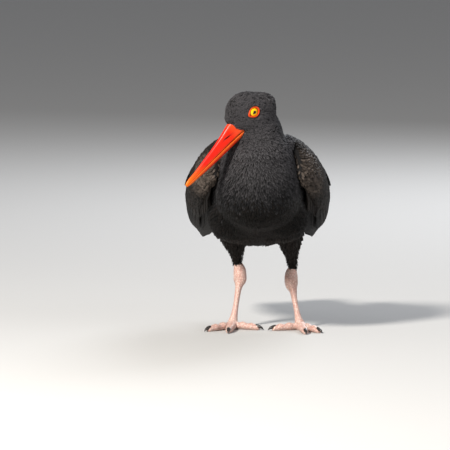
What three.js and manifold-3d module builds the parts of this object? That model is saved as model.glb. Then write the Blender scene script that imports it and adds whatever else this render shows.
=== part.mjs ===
// A life-size black oystercatcher standing on a floor, looking down past its own right shoulder.
// Millimetres, +Z up. The bird faces -Y, its left side is +X, and the floor is Z = 0.
// The flesh is one smooth surface round a bent spine, parted into torso, neck and head by thin cuts.
// Wings and tail are overlapping vanes rooted in a core, laid on a chart of the folded wing or tail.
import * as THREE from "three";
import { mergeVertices } from "three/addons/utils/BufferGeometryUtils.js";
import Module from "manifold-3d";

const wasm = await Module();
wasm.setup();

// Driving dimensions
const GAP = 0.3; // between neighbouring pieces that meet face to face
const BILL_LENGTH = 73; // culmen, from the feather edge to the tip
const GAPE_LENGTH = 80; // corner of the mouth to the tip
const EYE_LEVEL = 227;
const HEAD_YAW = 62; // degrees to the bird's right of straight ahead
const HEAD_DIP = 39.5; // degrees that the mouth line points below the horizon
const VANE = 0.6; // thickness of a feather vane
const SIDES = [
  { name: "left", out: 1 },
  { name: "right", out: -1 },
];

// Plumage, bare parts and eyes
const finish = (color, roughness) => new THREE.MeshStandardMaterial({ color, roughness, metalness: 0 });
const slate = finish(0x2a2a2c, 0.85);
const brown = finish(0x26201c, 0.75);
const scarlet = finish(0xe8301a, 0.4);
const yellow = finish(0xf5b400, 0.15);
const pink = finish(0xe0b5a8, 0.6);
const horn = finish(0x1c1a1a, 0.45);

const vec = (x, y, z) => new THREE.Vector3(x, y, z);
const rad = THREE.MathUtils.degToRad;

// Solids from closed meshes, and joins and cuts between them
function solid(geometry) {
  const bare = geometry.clone();
  bare.deleteAttribute("normal");
  bare.deleteAttribute("uv");
  const merged = mergeVertices(bare, 1e-4);
  const triVerts = new Uint32Array(merged.index.array);
  const make = () =>
    new wasm.Manifold(
      new wasm.Mesh({ numProp: 3, vertProperties: new Float32Array(merged.attributes.position.array), triVerts }),
    );
  const made = make();
  if (made.volume() >= 0) return made;
  for (let i = 0; i < triVerts.length; i += 3) {
    [triVerts[i + 1], triVerts[i + 2]] = [triVerts[i + 2], triVerts[i + 1]];
  }
  return make();
}

const join = (solids) => solids.reduce((whole, piece) => whole.add(piece));

function largest(body) {
  const pieces = body.decompose().filter((piece) => piece.volume() > 0);
  return pieces.reduce((best, piece) => (piece.volume() > best.volume() ? piece : best));
}

function meshOf(name, body, material) {
  const { numProp, vertProperties, triVerts } = largest(body).getMesh();
  const count = vertProperties.length / numProp;
  const places = new Float32Array(count * 3);
  for (let i = 0; i < count; i++) {
    places.set(vertProperties.subarray(i * numProp, i * numProp + 3), i * 3);
  }
  const geometry = new THREE.BufferGeometry();
  geometry.setAttribute("position", new THREE.BufferAttribute(places, 3));
  geometry.setIndex(new THREE.BufferAttribute(new Uint32Array(triVerts), 1));
  const mesh = new THREE.Mesh(geometry, material);
  mesh.name = name;
  return mesh;
}

// A closed skin over rings of equal count: a sphere's rows take the rings, and its poles the ring centres
// or the given end points.
function loft(rings, start, end) {
  const sides = rings[0].length;
  const sphere = new THREE.SphereGeometry(1, sides, rings.length + 1);
  const middle = (ring) => ring.reduce((sum, p) => sum.add(p), vec(0, 0, 0)).divideScalar(sides);
  const first = start ?? middle(rings[0]);
  const last = end ?? middle(rings.at(-1));
  const place = sphere.attributes.position;
  for (let i = 0; i < place.count; i++) {
    const row = Math.floor(i / (sides + 1));
    const column = i % (sides + 1) % sides;
    const p = row === 0 ? first : row > rings.length ? last : rings[row - 1][column];
    place.setXYZ(i, p.x, p.y, p.z);
  }
  return solid(sphere);
}

// A smooth value between the rows of a small table, by cubic steps through its knots
function along(table, key, at) {
  const last = table.length - 1;
  let i = 0;
  while (i < last - 1 && at > table[i + 1].at) i++;
  const slope = (k) => {
    const a = table[Math.max(k - 1, 0)];
    const b = table[Math.min(k + 1, last)];
    return (b[key] - a[key]) / (b.at - a.at);
  };
  const span = table[i + 1].at - table[i].at;
  const t = THREE.MathUtils.clamp((at - table[i].at) / span, 0, 1);
  const t2 = t * t;
  const t3 = t2 * t;
  return (
    (2 * t3 - 3 * t2 + 1) * table[i][key] +
    (t3 - 2 * t2 + t) * span * slope(i) +
    (3 * t2 - 2 * t3) * table[i + 1][key] +
    (t3 - t2) * span * slope(i + 1)
  );
}

// The head's own frame: ahead along the mouth line, to its left, and up. The zero point is between the eyes.
const yaw = rad(HEAD_YAW);
const dip = rad(HEAD_DIP);
const HEAD = {
  middle: vec(-11, -28, EYE_LEVEL),
  ahead: vec(-Math.sin(yaw) * Math.cos(dip), -Math.cos(yaw) * Math.cos(dip), -Math.sin(dip)),
  left: vec(Math.cos(yaw), -Math.sin(yaw), 0),
  up: vec(-Math.sin(yaw) * Math.sin(dip), -Math.cos(yaw) * Math.sin(dip), Math.cos(dip)),
};
const inHead = (ahead, left, up) =>
  HEAD.middle
    .clone()
    .addScaledVector(HEAD.ahead, ahead)
    .addScaledVector(HEAD.left, left)
    .addScaledVector(HEAD.up, up);

// Rounded masses that make up the flesh under its feathers. Each has a centre, three radii and its own axes.
const level = (x, y, z, rx, ry, rz, pitch = 0) => ({
  centre: vec(x, y, z),
  radii: [rx, ry, rz],
  axes: [
    vec(1, 0, 0),
    vec(0, Math.cos(rad(pitch)), -Math.sin(rad(pitch))),
    vec(0, Math.sin(rad(pitch)), Math.cos(rad(pitch))),
  ],
});
const ofHead = (ahead, left, up, ra, rl, ru) => ({
  centre: inHead(ahead, left, up),
  radii: [ra, rl, ru],
  axes: [HEAD.ahead, HEAD.left, HEAD.up],
});
const BODY_PITCH = 17;
const masses = [
  level(0, 46, 137.5, 51, 84, 51, BODY_PITCH), // belly
  level(0, -7, 151, 43, 44, 45), // breast
  level(-1, -11, 182, 34, 33, 27), // upper breast
  level(-1, -12, 206, 25, 24, 22), // neck
  level(0, 40, 170, 39, 58, 28, BODY_PITCH + 4), // mantle
  level(0, 116, 122, 31, 50, 19, BODY_PITCH), // rump
  level(30, 36, 112, 19, 33, 22), // left flank over the thigh
  level(-30, 40, 112, 19, 33, 22), // right flank over the thigh
  ofHead(-7, 0, -7.5, 25, 15.5, 16.5), // skull
  ofHead(6.5, 0, 7.5, 15.5, 10.5, 13), // brow
  ofHead(-2, 0, 5.5, 14, 10.5, 13), // crown
  ofHead(0, 0, -1, 12, 12, 11), // orbits
  ofHead(15, 0, -6, 12, 7, 8.5), // face behind the bill
];
const BLEND = 3.5; // how softly neighbouring masses run together

// Below zero inside the flesh, above zero outside, and close to a distance in millimetres
function fleshDepth(p) {
  let sum = 0;
  for (const { centre, radii, axes } of masses) {
    const d = p.clone().sub(centre);
    const q = axes.map((axis, i) => d.dot(axis) / radii[i]);
    const near = Math.hypot(...q);
    const steep = Math.hypot(...q.map((value, i) => value / radii[i]));
    sum += Math.exp(-((near * (near - 1)) / Math.max(steep, 1e-6)) / BLEND);
  }
  return -BLEND * Math.log(sum);
}

// The spine that the flesh is drawn round: from the rump forwards, then up the neck to the crown
const spine = new THREE.CatmullRomCurve3([
  vec(0, 138, 118),
  vec(0, 95, 131),
  vec(0, 50, 144),
  vec(0, 8, 158),
  vec(-3, -14, 180),
  vec(-7, -22, 204),
  vec(-11, -26, 222),
]);

// Where a ray from inside the flesh comes out, a clearance beyond its surface
function skinPoint(from, direction, clearance) {
  const STEP = 2;
  let far = STEP;
  while (fleshDepth(from.clone().addScaledVector(direction, far)) < clearance) far += STEP;
  let near = far - STEP;
  for (let i = 0; i < 18; i++) {
    const half = (near + far) / 2;
    if (fleshDepth(from.clone().addScaledVector(direction, half)) < clearance) near = half;
    else far = half;
  }
  return from.clone().addScaledVector(direction, far);
}

// Rings of the flesh: fans at the rump and the crown, and rings square to the spine between them
function fleshSolid({ sides, rings, fan, clearance }) {
  const ringAt = (t, lean) => {
    const from = spine.getPoint(t);
    const tangent = spine.getTangent(t);
    const across = vec(1, 0, 0).addScaledVector(tangent, -tangent.x).normalize();
    const upward = across.clone().cross(tangent);
    return Array.from({ length: sides }, (_, i) => {
      const turn = (2 * Math.PI * i) / sides;
      const direction = across
        .clone()
        .multiplyScalar(Math.cos(turn) * Math.cos(lean))
        .addScaledVector(upward, Math.sin(turn) * Math.cos(lean))
        .addScaledVector(tangent, Math.sin(lean));
      return skinPoint(from, direction, clearance);
    });
  };
  const made = [];
  for (let i = fan - 1; i > 0; i--) made.push(ringAt(0, (-Math.PI / 2) * (i / fan)));
  for (let i = 0; i <= rings; i++) made.push(ringAt(i / rings, 0));
  for (let i = 1; i < fan; i++) made.push(ringAt(1, (Math.PI / 2) * (i / fan)));
  const rear = skinPoint(spine.getPoint(0), spine.getTangent(0).negate(), clearance);
  const crown = skinPoint(spine.getPoint(1), spine.getTangent(1), clearance);
  return loft(made, rear, crown);
}

// All space on the far side of a plane, in the direction of its normal
function beyond(point, normal) {
  const REACH = 500;
  const box = new THREE.BoxGeometry(REACH, REACH, REACH);
  box.translate(0, 0, REACH / 2);
  box.applyQuaternion(new THREE.Quaternion().setFromUnitVectors(vec(0, 0, 1), normal.clone().normalize()));
  box.translate(point.x, point.y, point.z);
  return solid(box);
}

// A ball stretched along three axes
function ball(centre, axes, radii, sides, rings) {
  const geometry = new THREE.SphereGeometry(1, sides, rings);
  const basis = new THREE.Matrix4().makeBasis(...axes.map((axis, i) => axis.clone().multiplyScalar(radii[i])));
  geometry.applyMatrix4(basis);
  geometry.translate(centre.x, centre.y, centre.z);
  return solid(geometry);
}

// Bill: two halves that meet along the mouth line. Heights are in the head's frame, against distance ahead.
const GAPE = 18.6; // corner of the mouth, ahead of the eye
const BILL_TIP = GAPE + GAPE_LENGTH;
const NOSTRIL = { from: 32.5, to: 40.5, height: -5.2, tall: 0.9, deep: 1.6 };
const billSizes = [
  { at: 12, top: 5.5, mouth: -9.9, bottom: -14.2, half: 7.6 },
  { at: BILL_TIP - BILL_LENGTH + 1, top: 2.9, mouth: -10.2, bottom: -15.3, half: 5.8 },
  { at: 40, top: -0.9, mouth: -10.5, bottom: -15.7, half: 4.6 },
  { at: 54, top: -3.6, mouth: -10.9, bottom: -15.8, half: 3.7 },
  { at: 68, top: -5.7, mouth: -11.2, bottom: -15.6, half: 3.0 },
  { at: 82, top: -7.6, mouth: -11.6, bottom: -15.0, half: 2.2 },
  { at: 94, top: -9.0, mouth: -12.0, bottom: -14.4, half: 1.6 },
  { at: BILL_TIP, top: -10.6, mouth: -12.2, bottom: -13.6, half: 0.9 },
];

function billHalf(edge, sign) {
  const RINGS = 14;
  const SIDES_ROUND = 9;
  const rings = Array.from({ length: RINGS }, (_, i) => {
    const share = i / (RINGS - 1);
    const ahead = THREE.MathUtils.lerp(billSizes[0].at, BILL_TIP, share);
    const flat = along(billSizes, "mouth", ahead) + (sign * GAP) / 2;
    const outer = along(billSizes, edge, ahead);
    const half = along(billSizes, "half", ahead);
    return Array.from({ length: SIDES_ROUND }, (_, k) => {
      const turn = (Math.PI * k) / (SIDES_ROUND - 1);
      const squared = Math.sign(Math.cos(turn)) * Math.abs(Math.cos(turn)) ** 0.8;
      return inHead(ahead, half * squared, flat + (outer - flat) * Math.sin(turn) ** 0.9);
    });
  });
  return loft(rings);
}

function nostrilSlits() {
  const middle = (NOSTRIL.from + NOSTRIL.to) / 2;
  const width = along(billSizes, "half", middle);
  const radii = [(NOSTRIL.to - NOSTRIL.from) / 2, NOSTRIL.deep, NOSTRIL.tall];
  return join(
    SIDES.map(({ out }) =>
      ball(inHead(middle, out * width * 0.93, NOSTRIL.height), [HEAD.ahead, HEAD.left, HEAD.up], radii, 8, 6),
    ),
  );
}

// Eyes, each in a raised ring of bare lid, and the hollow that they sit in
const EYE = { radius: 5.6, sunk: 10.6 };
const LID = { long: 5.4, tall: 4.75, thick: 0.9, out: 15.4, turnIn: 0.075, dip: 0.07 };
const SOCKET = [9.5, 8.8, 8.8];

function eyeBall(out) {
  return ball(inHead(0, out * EYE.sunk, 0), [HEAD.ahead, HEAD.left, HEAD.up], Array(3).fill(EYE.radius), 20, 10);
}

function eyeSocket(out) {
  return ball(inHead(0, out * EYE.sunk, 0), [HEAD.ahead, HEAD.left, HEAD.up], SOCKET, 16, 8);
}

function lidRing(out) {
  const AROUND = 20;
  const SECTION = 6;
  const torus = new THREE.TorusGeometry(1, LID.thick, SECTION, AROUND);
  const place = torus.attributes.position;
  for (let i = 0; i < place.count; i++) {
    const turn = (2 * Math.PI * (i % (AROUND + 1) % AROUND)) / AROUND;
    const roll = (2 * Math.PI * (Math.floor(i / (AROUND + 1)) % SECTION)) / SECTION;
    const ahead = (LID.long + LID.thick * Math.cos(roll)) * Math.cos(turn);
    const up = (LID.tall + LID.thick * Math.cos(roll)) * Math.sin(turn);
    const rise = LID.thick * Math.sin(roll) - ahead * LID.turnIn - up * LID.dip;
    const p = inHead(ahead, out * (LID.out + rise), up);
    place.setXYZ(i, p.x, p.y, p.z);
  }
  return solid(torus);
}

// Folded wing, drooped a little from the body. Each row is a section across the wing at a distance back:
// its widest point and that point's height, how far it rises over the back, and how far it hangs below
// and tucks in to its lower edge.
const wingSections = [
  { at: -24, side: 42, height: 156, rise: 20, drop: 3, tuck: 1 },
  { at: 5, side: 54, height: 151, rise: 41, drop: 14, tuck: 5 },
  { at: 38, side: 62.5, height: 143, rise: 49, drop: 24, tuck: 5 },
  { at: 88, side: 68, height: 130, rise: 42, drop: 33, tuck: 5 },
  { at: 138, side: 65, height: 114, rise: 29, drop: 27, tuck: 3 },
  { at: 183, side: 58.5, height: 99, rise: 17, drop: 17, tuck: 2 },
  { at: 214, side: 52, height: 90, rise: 8, drop: 8, tuck: 1 },
];

// A point of the wing: back along it, up from its lower edge over its surface, and out from that surface
function onWing(back, up, lift) {
  const surface = (b, u) => {
    const at = (key) => along(wingSections, key, b);
    const hang = Math.hypot(at("drop"), at("tuck"));
    if (u < hang) {
      const below = (hang - u) / hang;
      return vec(at("side") - at("tuck") * below * below, b, at("height") - at("drop") * below);
    }
    const turn = (u - hang) / ((at("side") + at("rise")) / 2);
    return vec(at("side") * Math.cos(turn), b, at("height") + at("rise") * Math.sin(turn));
  };
  const STEP = 1;
  const p = surface(back, up);
  const backward = surface(back + STEP, up).sub(surface(back - STEP, up));
  const upward = surface(back, up + STEP).sub(surface(back, up - STEP));
  return p.addScaledVector(backward.cross(upward).normalize(), lift);
}

// One feather vane on a chart. It runs from its root to its tip, with its shaft bowed and its edges tilted,
// so that each vane lies over the next. Its root dips down into what carries it.
function vane(chart, { root, tip, width, lift, tilt = 0, bow = 0, pieces = 4, blunt = 0.55, dig = 2.5 }) {
  const long = [tip[0] - root[0], tip[1] - root[1]];
  const length = Math.hypot(...long);
  const across = [-long[1] / length, long[0] / length];
  const end = 1 - (width * blunt) / length;
  const stations = [
    ...Array.from({ length: pieces + 1 }, (_, i) => [(end * i) / pieces, i === 0 ? 0.6 : 1]),
    [end + (1 - end) * 0.62, 0.76],
    [1, 0.24],
  ];
  const rings = stations.map(([t, share]) => {
    const middle = [0, 1].map((k) => root[k] + long[k] * t + across[k] * bow * 4 * t * (1 - t));
    const half = (width / 2) * share;
    const up = lift - dig * Math.max(0, 1 - t * pieces) ** 2;
    const corner = (side, face) =>
      chart(
        middle[0] + across[0] * half * side,
        middle[1] + across[1] * half * side,
        up + tilt * half * side + (VANE / 2) * face,
      );
    return [corner(1, 1), corner(-1, 1), corner(-1, -1), corner(1, -1)];
  });
  return loft(rings);
}

// A row of vanes: first and last give the sizes at its two ends, and the rest are spread between them
function vaneRow(chart, count, first, last) {
  return Array.from({ length: count }, (_, i) => {
    const t = count > 1 ? i / (count - 1) : 0;
    const mix = (a, b) => (Array.isArray(a) ? a.map((v, k) => mix(v, b[k])) : a + (b - a) * t);
    const sizes = Object.fromEntries(Object.keys(first).map((key) => [key, mix(first[key], last[key])]));
    return vane(chart, { ...sizes, pieces: Math.round(sizes.pieces ?? 4) });
  });
}

// The arm under the coverts: thick at the wrist and shoulder, thinning back to nothing where the vanes come out
const armSections = [
  { at: -24, low: 5, high: 13, outer: 3, inner: 3 },
  { at: -12, low: 3, high: 36, outer: 6.8, inner: 6 },
  { at: 6, low: 4, high: 76, outer: 8.6, inner: 7.5 },
  { at: 24, low: 6, high: 90, outer: 7.4, inner: 7 },
  { at: 46, low: 9, high: 98, outer: 5.4, inner: 6 },
  { at: 76, low: 12, high: 98, outer: 3.4, inner: 4.5 },
  { at: 92, low: 16, high: 90, outer: 1.4, inner: 2.5 },
  { at: 112, low: 20, high: 80, outer: 0.4, inner: 1 },
];
function wingArm() {
  const RINGS = 11;
  const SPAN = 7;
  const rings = Array.from({ length: RINGS }, (_, i) => {
    const back = THREE.MathUtils.lerp(-23, 111, i / (RINGS - 1));
    const size = (key) => along(armSections, key, back);
    const face = (sign, key) =>
      Array.from({ length: SPAN }, (_, k) => {
        const across = k / (SPAN - 1);
        const round = Math.sqrt(1 - (2 * across - 1) ** 6);
        return onWing(back, size("low") + (size("high") - size("low")) * across, sign * (size(key) * round + 0.2));
      });
    return [...face(1, "outer"), ...face(-1, "inner").reverse()];
  });
  return loft(rings);
}

function wingVanes() {
  return [
    // primaries, outermost first: long, narrow, and stepped forward one from the next
    ...vaneRow(
      onWing,
      6,
      { root: [-2, 10], tip: [213, 6], width: 10.5, lift: 0, tilt: -0.17, pieces: 6, blunt: 1, dig: 1 },
      { root: [50, 46], tip: [162, 47], width: 11, lift: 0, tilt: -0.17, pieces: 4, blunt: 0.8, dig: 1 },
    ),
    // secondaries
    ...vaneRow(
      onWing,
      5,
      { root: [36, 16], tip: [114, 13], width: 10.5, lift: 2.8, tilt: -0.15, pieces: 4, dig: 2 },
      { root: [74, 48], tip: [150, 45], width: 10.5, lift: 2.8, tilt: -0.15, pieces: 4, dig: 2 },
    ),
    // tertials, long and broad over the folded secondaries
    ...vaneRow(
      onWing,
      4,
      { root: [80, 56], tip: [170, 54], width: 13, lift: 5.4, tilt: -0.12, pieces: 4, dig: 4 },
      { root: [66, 86], tip: [146, 86], width: 13, lift: 5.4, tilt: -0.12, pieces: 4, dig: 4 },
    ),
    // greater coverts
    ...vaneRow(
      onWing,
      5,
      { root: [14, 15], tip: [64, 12], width: 10.5, lift: 5.4, tilt: -0.13, pieces: 3, dig: 2.5 },
      { root: [44, 47], tip: [98, 44], width: 10.5, lift: 5.4, tilt: -0.13, pieces: 3, dig: 2.5 },
    ),
    // median coverts
    ...vaneRow(
      onWing,
      5,
      { root: [-4, 15], tip: [34, 14], width: 11.5, lift: 7.8, tilt: -0.12, pieces: 2, dig: 2.5 },
      { root: [24, 52], tip: [66, 50], width: 12, lift: 7.8, tilt: -0.12, pieces: 2, dig: 2.5 },
    ),
    // scapulars, over the shoulder and the roots of the tertials
    ...vaneRow(
      onWing,
      4,
      { root: [48, 63], tip: [104, 62], width: 13.5, lift: 8.1, tilt: -0.11, pieces: 3, dig: 6 },
      { root: [38, 87], tip: [96, 91], width: 13.5, lift: 8.1, tilt: -0.11, pieces: 3, dig: 6 },
    ),
    ...vaneRow(
      onWing,
      3,
      { root: [20, 62], tip: [70, 66], width: 13.5, lift: 10.4, tilt: -0.11, pieces: 3, dig: 6 },
      { root: [10, 76], tip: [62, 86], width: 13.5, lift: 10.4, tilt: -0.11, pieces: 3, dig: 6 },
    ),
    // primary coverts and the small feathers of the thumb, along the lower edge behind the wrist
    ...vaneRow(
      onWing,
      2,
      { root: [-14, 6], tip: [42, 4], width: 8, lift: 3.4, tilt: -0.14, pieces: 3, blunt: 0.8, dig: 2 },
      { root: [-6, 13], tip: [66, 10.5], width: 8, lift: 3.4, tilt: -0.14, pieces: 3, blunt: 0.8, dig: 2 },
    ),
  ];
}

// Tail: a shallow roof of twelve feathers in a narrow fan, with shorter coverts above and below.
// Its chart runs back from the root and out from the middle, and lifts off the roof.
const TAIL = { root: 122, height: 128, slope: 15, roof: 0.28, length: 104 };
function onTail(back, out, lift) {
  const slope = rad(TAIL.slope);
  const sag = TAIL.roof * Math.abs(out) + 0.004 * out * out;
  return vec(
    out,
    TAIL.root + back * Math.cos(slope) + lift * Math.sin(slope),
    TAIL.height - back * Math.sin(slope) + lift * Math.cos(slope) - sag,
  );
}

function tailBody() {
  const RINGS = 6;
  const SECTION = 12;
  const rings = Array.from({ length: RINGS }, (_, i) => {
    const share = i / (RINGS - 1);
    const half = THREE.MathUtils.lerp(21, 12, share);
    const deep = THREE.MathUtils.lerp(10, 1.5, share ** 0.8);
    return Array.from({ length: SECTION }, (_, k) => {
      const turn = (2 * Math.PI * k) / SECTION;
      return onTail(share * 50, half * Math.cos(turn), deep * Math.sin(turn) - 3);
    });
  });
  return loft(rings);
}

// The middle pair lies on top, and each feather slides under the one nearer the middle.
function tailVanes() {
  const PAIRS = 6;
  const STEP = 0.95;
  const made = [];
  for (const { out } of SIDES) {
    for (let i = 0; i < PAIRS; i++) {
      made.push(
        vane(onTail, {
          root: [22, out * (5 + i * 1.3)],
          tip: [TAIL.length - 1.4 * i, out * (7 + i * 3.9)],
          width: 15,
          lift: -STEP * (i === 0 && out > 0 ? 0 : i + 1),
          pieces: 2,
          dig: 0,
        }),
      );
    }
    for (let i = 0; i < 3; i++) {
      made.push(
        vane(onTail, {
          root: [4, out * (5.5 + i * 4)],
          tip: [52 - i * 5, out * (7.2 + i * 5)],
          width: 12,
          lift: 3.4 - STEP * (i === 0 && out > 0 ? 0 : i + 1),
          pieces: 2,
        }),
      );
    }
    for (let i = 0; i < 2; i++) {
      made.push(
        vane(onTail, {
          root: [8, out * (6 + i * 5)],
          tip: [58 - i * 7, out * (8 + i * 6)],
          width: 14,
          lift: -10 + STEP * (i === 0 && out > 0 ? 0 : i + 1),
          pieces: 2,
          dig: -2.5,
        }),
      );
    }
  }
  return made;
}

// A limb piece: rings of two radii along a path. Each row is a point, its half width and its half depth.
function limb(rows, { sides = 14, rings = 10 } = {}) {
  const table = rows.map(([x, y, z, wide, deep], i) => ({ at: i, x, y, z, wide, deep }));
  const last = table.length - 1;
  const at = (t) => vec(along(table, "x", t), along(table, "y", t), along(table, "z", t));
  const made = Array.from({ length: rings + 1 }, (_, i) => {
    const t = (last * i) / rings;
    const p = at(t);
    const tangent = at(Math.min(t + 0.05, last)).sub(at(Math.max(t - 0.05, 0))).normalize();
    const across = vec(1, 0, 0).addScaledVector(tangent, -tangent.x).normalize();
    const deep = tangent.clone().cross(across);
    return Array.from({ length: sides }, (_, k) => {
      const turn = (2 * Math.PI * k) / sides;
      return p
        .clone()
        .addScaledVector(across, along(table, "wide", t) * Math.cos(turn))
        .addScaledVector(deep, along(table, "deep", t) * Math.sin(turn));
    });
  });
  return loft(made);
}

// Legs: feathered shin out of the belly, bare ankle joint and shank, and a foot of three toes.
// Toe directions are degrees from straight ahead, towards the bird's left.
const LEGS = {
  right: {
    shin: [
      [-29, 44, 118, 19, 20],
      [-24.5, 56, 94, 13.5, 15],
      [-21.8, 65, 81, 8.4, 10],
      [-20.9, 72, 71, 5.6, 6.6],
      [-20.4, 74, 62.5, 4.4, 5.2],
    ],
    shank: [
      [-20.4, 74.2, 63.5, 4.1, 4.8],
      [-18, 74.5, 57.5, 6.1, 6.4],
      [-17.6, 74, 51, 6.9, 7.2],
      [-18.6, 72, 44.5, 5, 5.6],
      [-20.2, 68, 35, 3.1, 4],
      [-22.2, 63.5, 22, 2.9, 3.7],
      [-24, 59.5, 12, 3.7, 4.2],
      [-25, 57.5, 7.5, 4.8, 5],
    ],
    pad: vec(-25.2, 56, 4.6),
    toes: [
      { name: "inner", turn: 66, length: 28 },
      { name: "middle", turn: -6, length: 41 },
      { name: "outer", turn: -44, length: 35 },
    ],
  },
  left: {
    shin: [
      [30, 40, 116, 19, 20],
      [32, 52, 92, 13, 15],
      [33.4, 60, 79, 7.8, 9.6],
      [34.6, 67, 68, 5.4, 6.4],
      [35.4, 70, 58.5, 4.3, 5.1],
    ],
    shank: [
      [35.4, 70.2, 59.5, 4, 4.7],
      [33.8, 71, 53.5, 6.2, 6.5],
      [33.6, 70.5, 46.5, 7, 7.3],
      [35.4, 67.5, 39, 4.8, 5.5],
      [37, 62, 29.5, 2.9, 3.9],
      [39.4, 55.5, 17.5, 2.9, 3.7],
      [41, 50.5, 10, 3.9, 4.3],
      [42.2, 48.5, 7, 4.9, 5],
    ],
    pad: vec(42.6, 47, 4.6),
    toes: [
      { name: "inner", turn: -74, length: 28 },
      { name: "middle", turn: 7, length: 41 },
      { name: "outer", turn: 32, length: 35 },
    ],
  },
};
const TOE = { wide: 4.3, tall: 3.7, start: 5.6 };
const CLAW = { length: 8.5, thick: 2.1, root: 3.4 };

// A toe lies along the floor with a soft swelling at each joint and a flat sole
function toe(pad, turn, length, clearance = 0) {
  const heading = rad(turn);
  const ahead = vec(Math.sin(heading), -Math.cos(heading), 0);
  const across = vec(Math.cos(heading), Math.sin(heading), 0);
  const RINGS = 9;
  const SECTION = 8;
  const JOINTS = 3;
  const rings = Array.from({ length: RINGS + 1 }, (_, i) => {
    const t = i / RINGS;
    const swell = 1 + 0.09 * Math.cos(2 * Math.PI * JOINTS * (t - 0.04));
    const end = Math.sqrt(Math.max(0.04, 1 - Math.max(0, (t - 0.86) / 0.15) ** 2));
    const wide = TOE.wide * (1.04 - 0.22 * t) * swell * end + clearance;
    const tall = TOE.tall * (1.04 - 0.2 * t) * swell * end + clearance;
    const middle = pad.clone().addScaledVector(ahead, TOE.start * 0.2 + t * length);
    middle.z = tall * 0.86 + 0.9 * (1 - t);
    return Array.from({ length: SECTION }, (_, k) => {
      const roll = (2 * Math.PI * (k + 0.5)) / SECTION;
      const q = middle
        .clone()
        .addScaledVector(across, wide * Math.cos(roll))
        .add(vec(0, 0, tall * Math.sin(roll)));
      q.z = Math.max(q.z, 0);
      return q;
    });
  });
  return loft(rings);
}

function claw(pad, turn, length, clearance = 0) {
  const heading = rad(turn);
  const ahead = vec(Math.sin(heading), -Math.cos(heading), 0);
  const across = vec(Math.cos(heading), Math.sin(heading), 0);
  const RINGS = 5;
  const SECTION = 7;
  const from = pad.clone().addScaledVector(ahead, TOE.start * 0.2 + length - CLAW.root);
  const rings = Array.from({ length: RINGS + 1 }, (_, i) => {
    const t = i / RINGS;
    const thick = CLAW.thick * (1 - 0.82 * t ** 1.6) + clearance;
    const middle = from.clone().addScaledVector(ahead, CLAW.length * Math.sin(t * 1.25));
    middle.z = 3.9 - 3.1 * t * t;
    return Array.from({ length: SECTION }, (_, k) => {
      const roll = (2 * Math.PI * k) / SECTION;
      const q = middle
        .clone()
        .addScaledVector(across, thick * Math.cos(roll))
        .add(vec(0, 0, thick * Math.sin(roll)));
      q.z = Math.max(q.z, 0.05);
      return q;
    });
  });
  return loft(rings);
}

// Assembly
const bird = new THREE.Group();
const show = (name, body, material) => bird.add(meshOf(name, body, material));
const mirrored = (body, out) => (out > 0 ? body : body.mirror([1, 0, 0]));

const FLESH = { sides: 28, rings: 26, fan: 6 };
const flesh = fleshSolid({ ...FLESH, clearance: 0 });
const fleshClear = fleshSolid({ ...FLESH, clearance: GAP });

const neckTop = { point: vec(-6, -21, 202), normal: vec(0, -0.37, 0.93) };
const neckBase = { point: vec(0, -12, 184), normal: vec(0, -0.45, 0.89) };
const shifted = ({ point, normal }, by) => beyond(point.clone().addScaledVector(normal, by / normal.length()), normal);

const billUpper = billHalf("top", 1).subtract(nostrilSlits());
const billLower = billHalf("bottom", -1);
const sockets = join(SIDES.map(({ out }) => eyeSocket(out)));

show("head", flesh.intersect(shifted(neckTop, GAP / 2)).subtract(sockets), slate);
show("neck", flesh.intersect(shifted(neckBase, GAP / 2)).subtract(shifted(neckTop, -GAP / 2)), slate);
show("bill_upper", billUpper.subtract(fleshClear), scarlet);
show("bill_lower", billLower.subtract(fleshClear), scarlet);
for (const { name, out } of SIDES) {
  show(`eye_${name}`, eyeBall(out), yellow);
  show(`eye_ring_${name}`, lidRing(out), scarlet);
}

const shins = SIDES.map(({ name }) => limb(LEGS[name].shin, { sides: 14, rings: 8 }));
show("torso", flesh.subtract(shifted(neckBase, -GAP / 2)), slate);

SIDES.forEach(({ name }, i) => {
  const leg = LEGS[name];
  const ankle = vec(...leg.shin.at(-1).slice(0, 3));
  const shinFoot = beyond(ankle.clone().add(vec(0, 0, 1)), vec(0, 0, -1));
  const shankTop = beyond(ankle.clone().add(vec(0, 0, 1 - GAP)), vec(0, 0, 1));
  show(`thigh_${name}`, shins[i].subtract(fleshClear).subtract(shinFoot), brown);

  const toes = leg.toes.map(({ turn, length }) => toe(leg.pad, turn, length));
  const padBall = ball(leg.pad.clone().setZ(3.6), [vec(1, 0, 0), vec(0, 1, 0), vec(0, 0, 1)], [6.6, 6.4, 5.2], 12, 6);
  const shank = limb(leg.shank, { sides: 10, rings: 12 }).subtract(shankTop);
  const underfoot = beyond(vec(0, 0, 0), vec(0, 0, -1));
  show(`shank_${name}`, join([shank, padBall]).subtract(underfoot), pink);

  const clearOfPad = join([
    limb(leg.shank.map(([x, y, z, wide, deep]) => [x, y, z, wide + GAP, deep + GAP]), { sides: 10, rings: 12 }),
    ball(leg.pad.clone().setZ(3.6), [vec(1, 0, 0), vec(0, 1, 0), vec(0, 0, 1)], [6.9, 6.7, 5.5], 12, 6),
  ]);
  leg.toes.forEach((digit, k) => {
    const others = leg.toes.slice(0, k).map(({ turn, length }) => toe(leg.pad, turn, length, GAP));
    const cutters = [clearOfPad, ...others, claw(leg.pad, digit.turn, digit.length, GAP)];
    show(`toe_${digit.name}_${name}`, toes[k].subtract(join(cutters)), pink);
    show(`claw_${digit.name}_${name}`, claw(leg.pad, digit.turn, digit.length), horn);
  });
});

const tail = join([tailBody(), ...tailVanes()]).subtract(fleshClear);
show("tail", tail, brown);
const wing = join([wingArm(), ...wingVanes()]);
for (const { name, out } of SIDES) {
  show(`wing_${name}`, mirrored(wing, out).subtract(fleshClear), brown);
}

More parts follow.
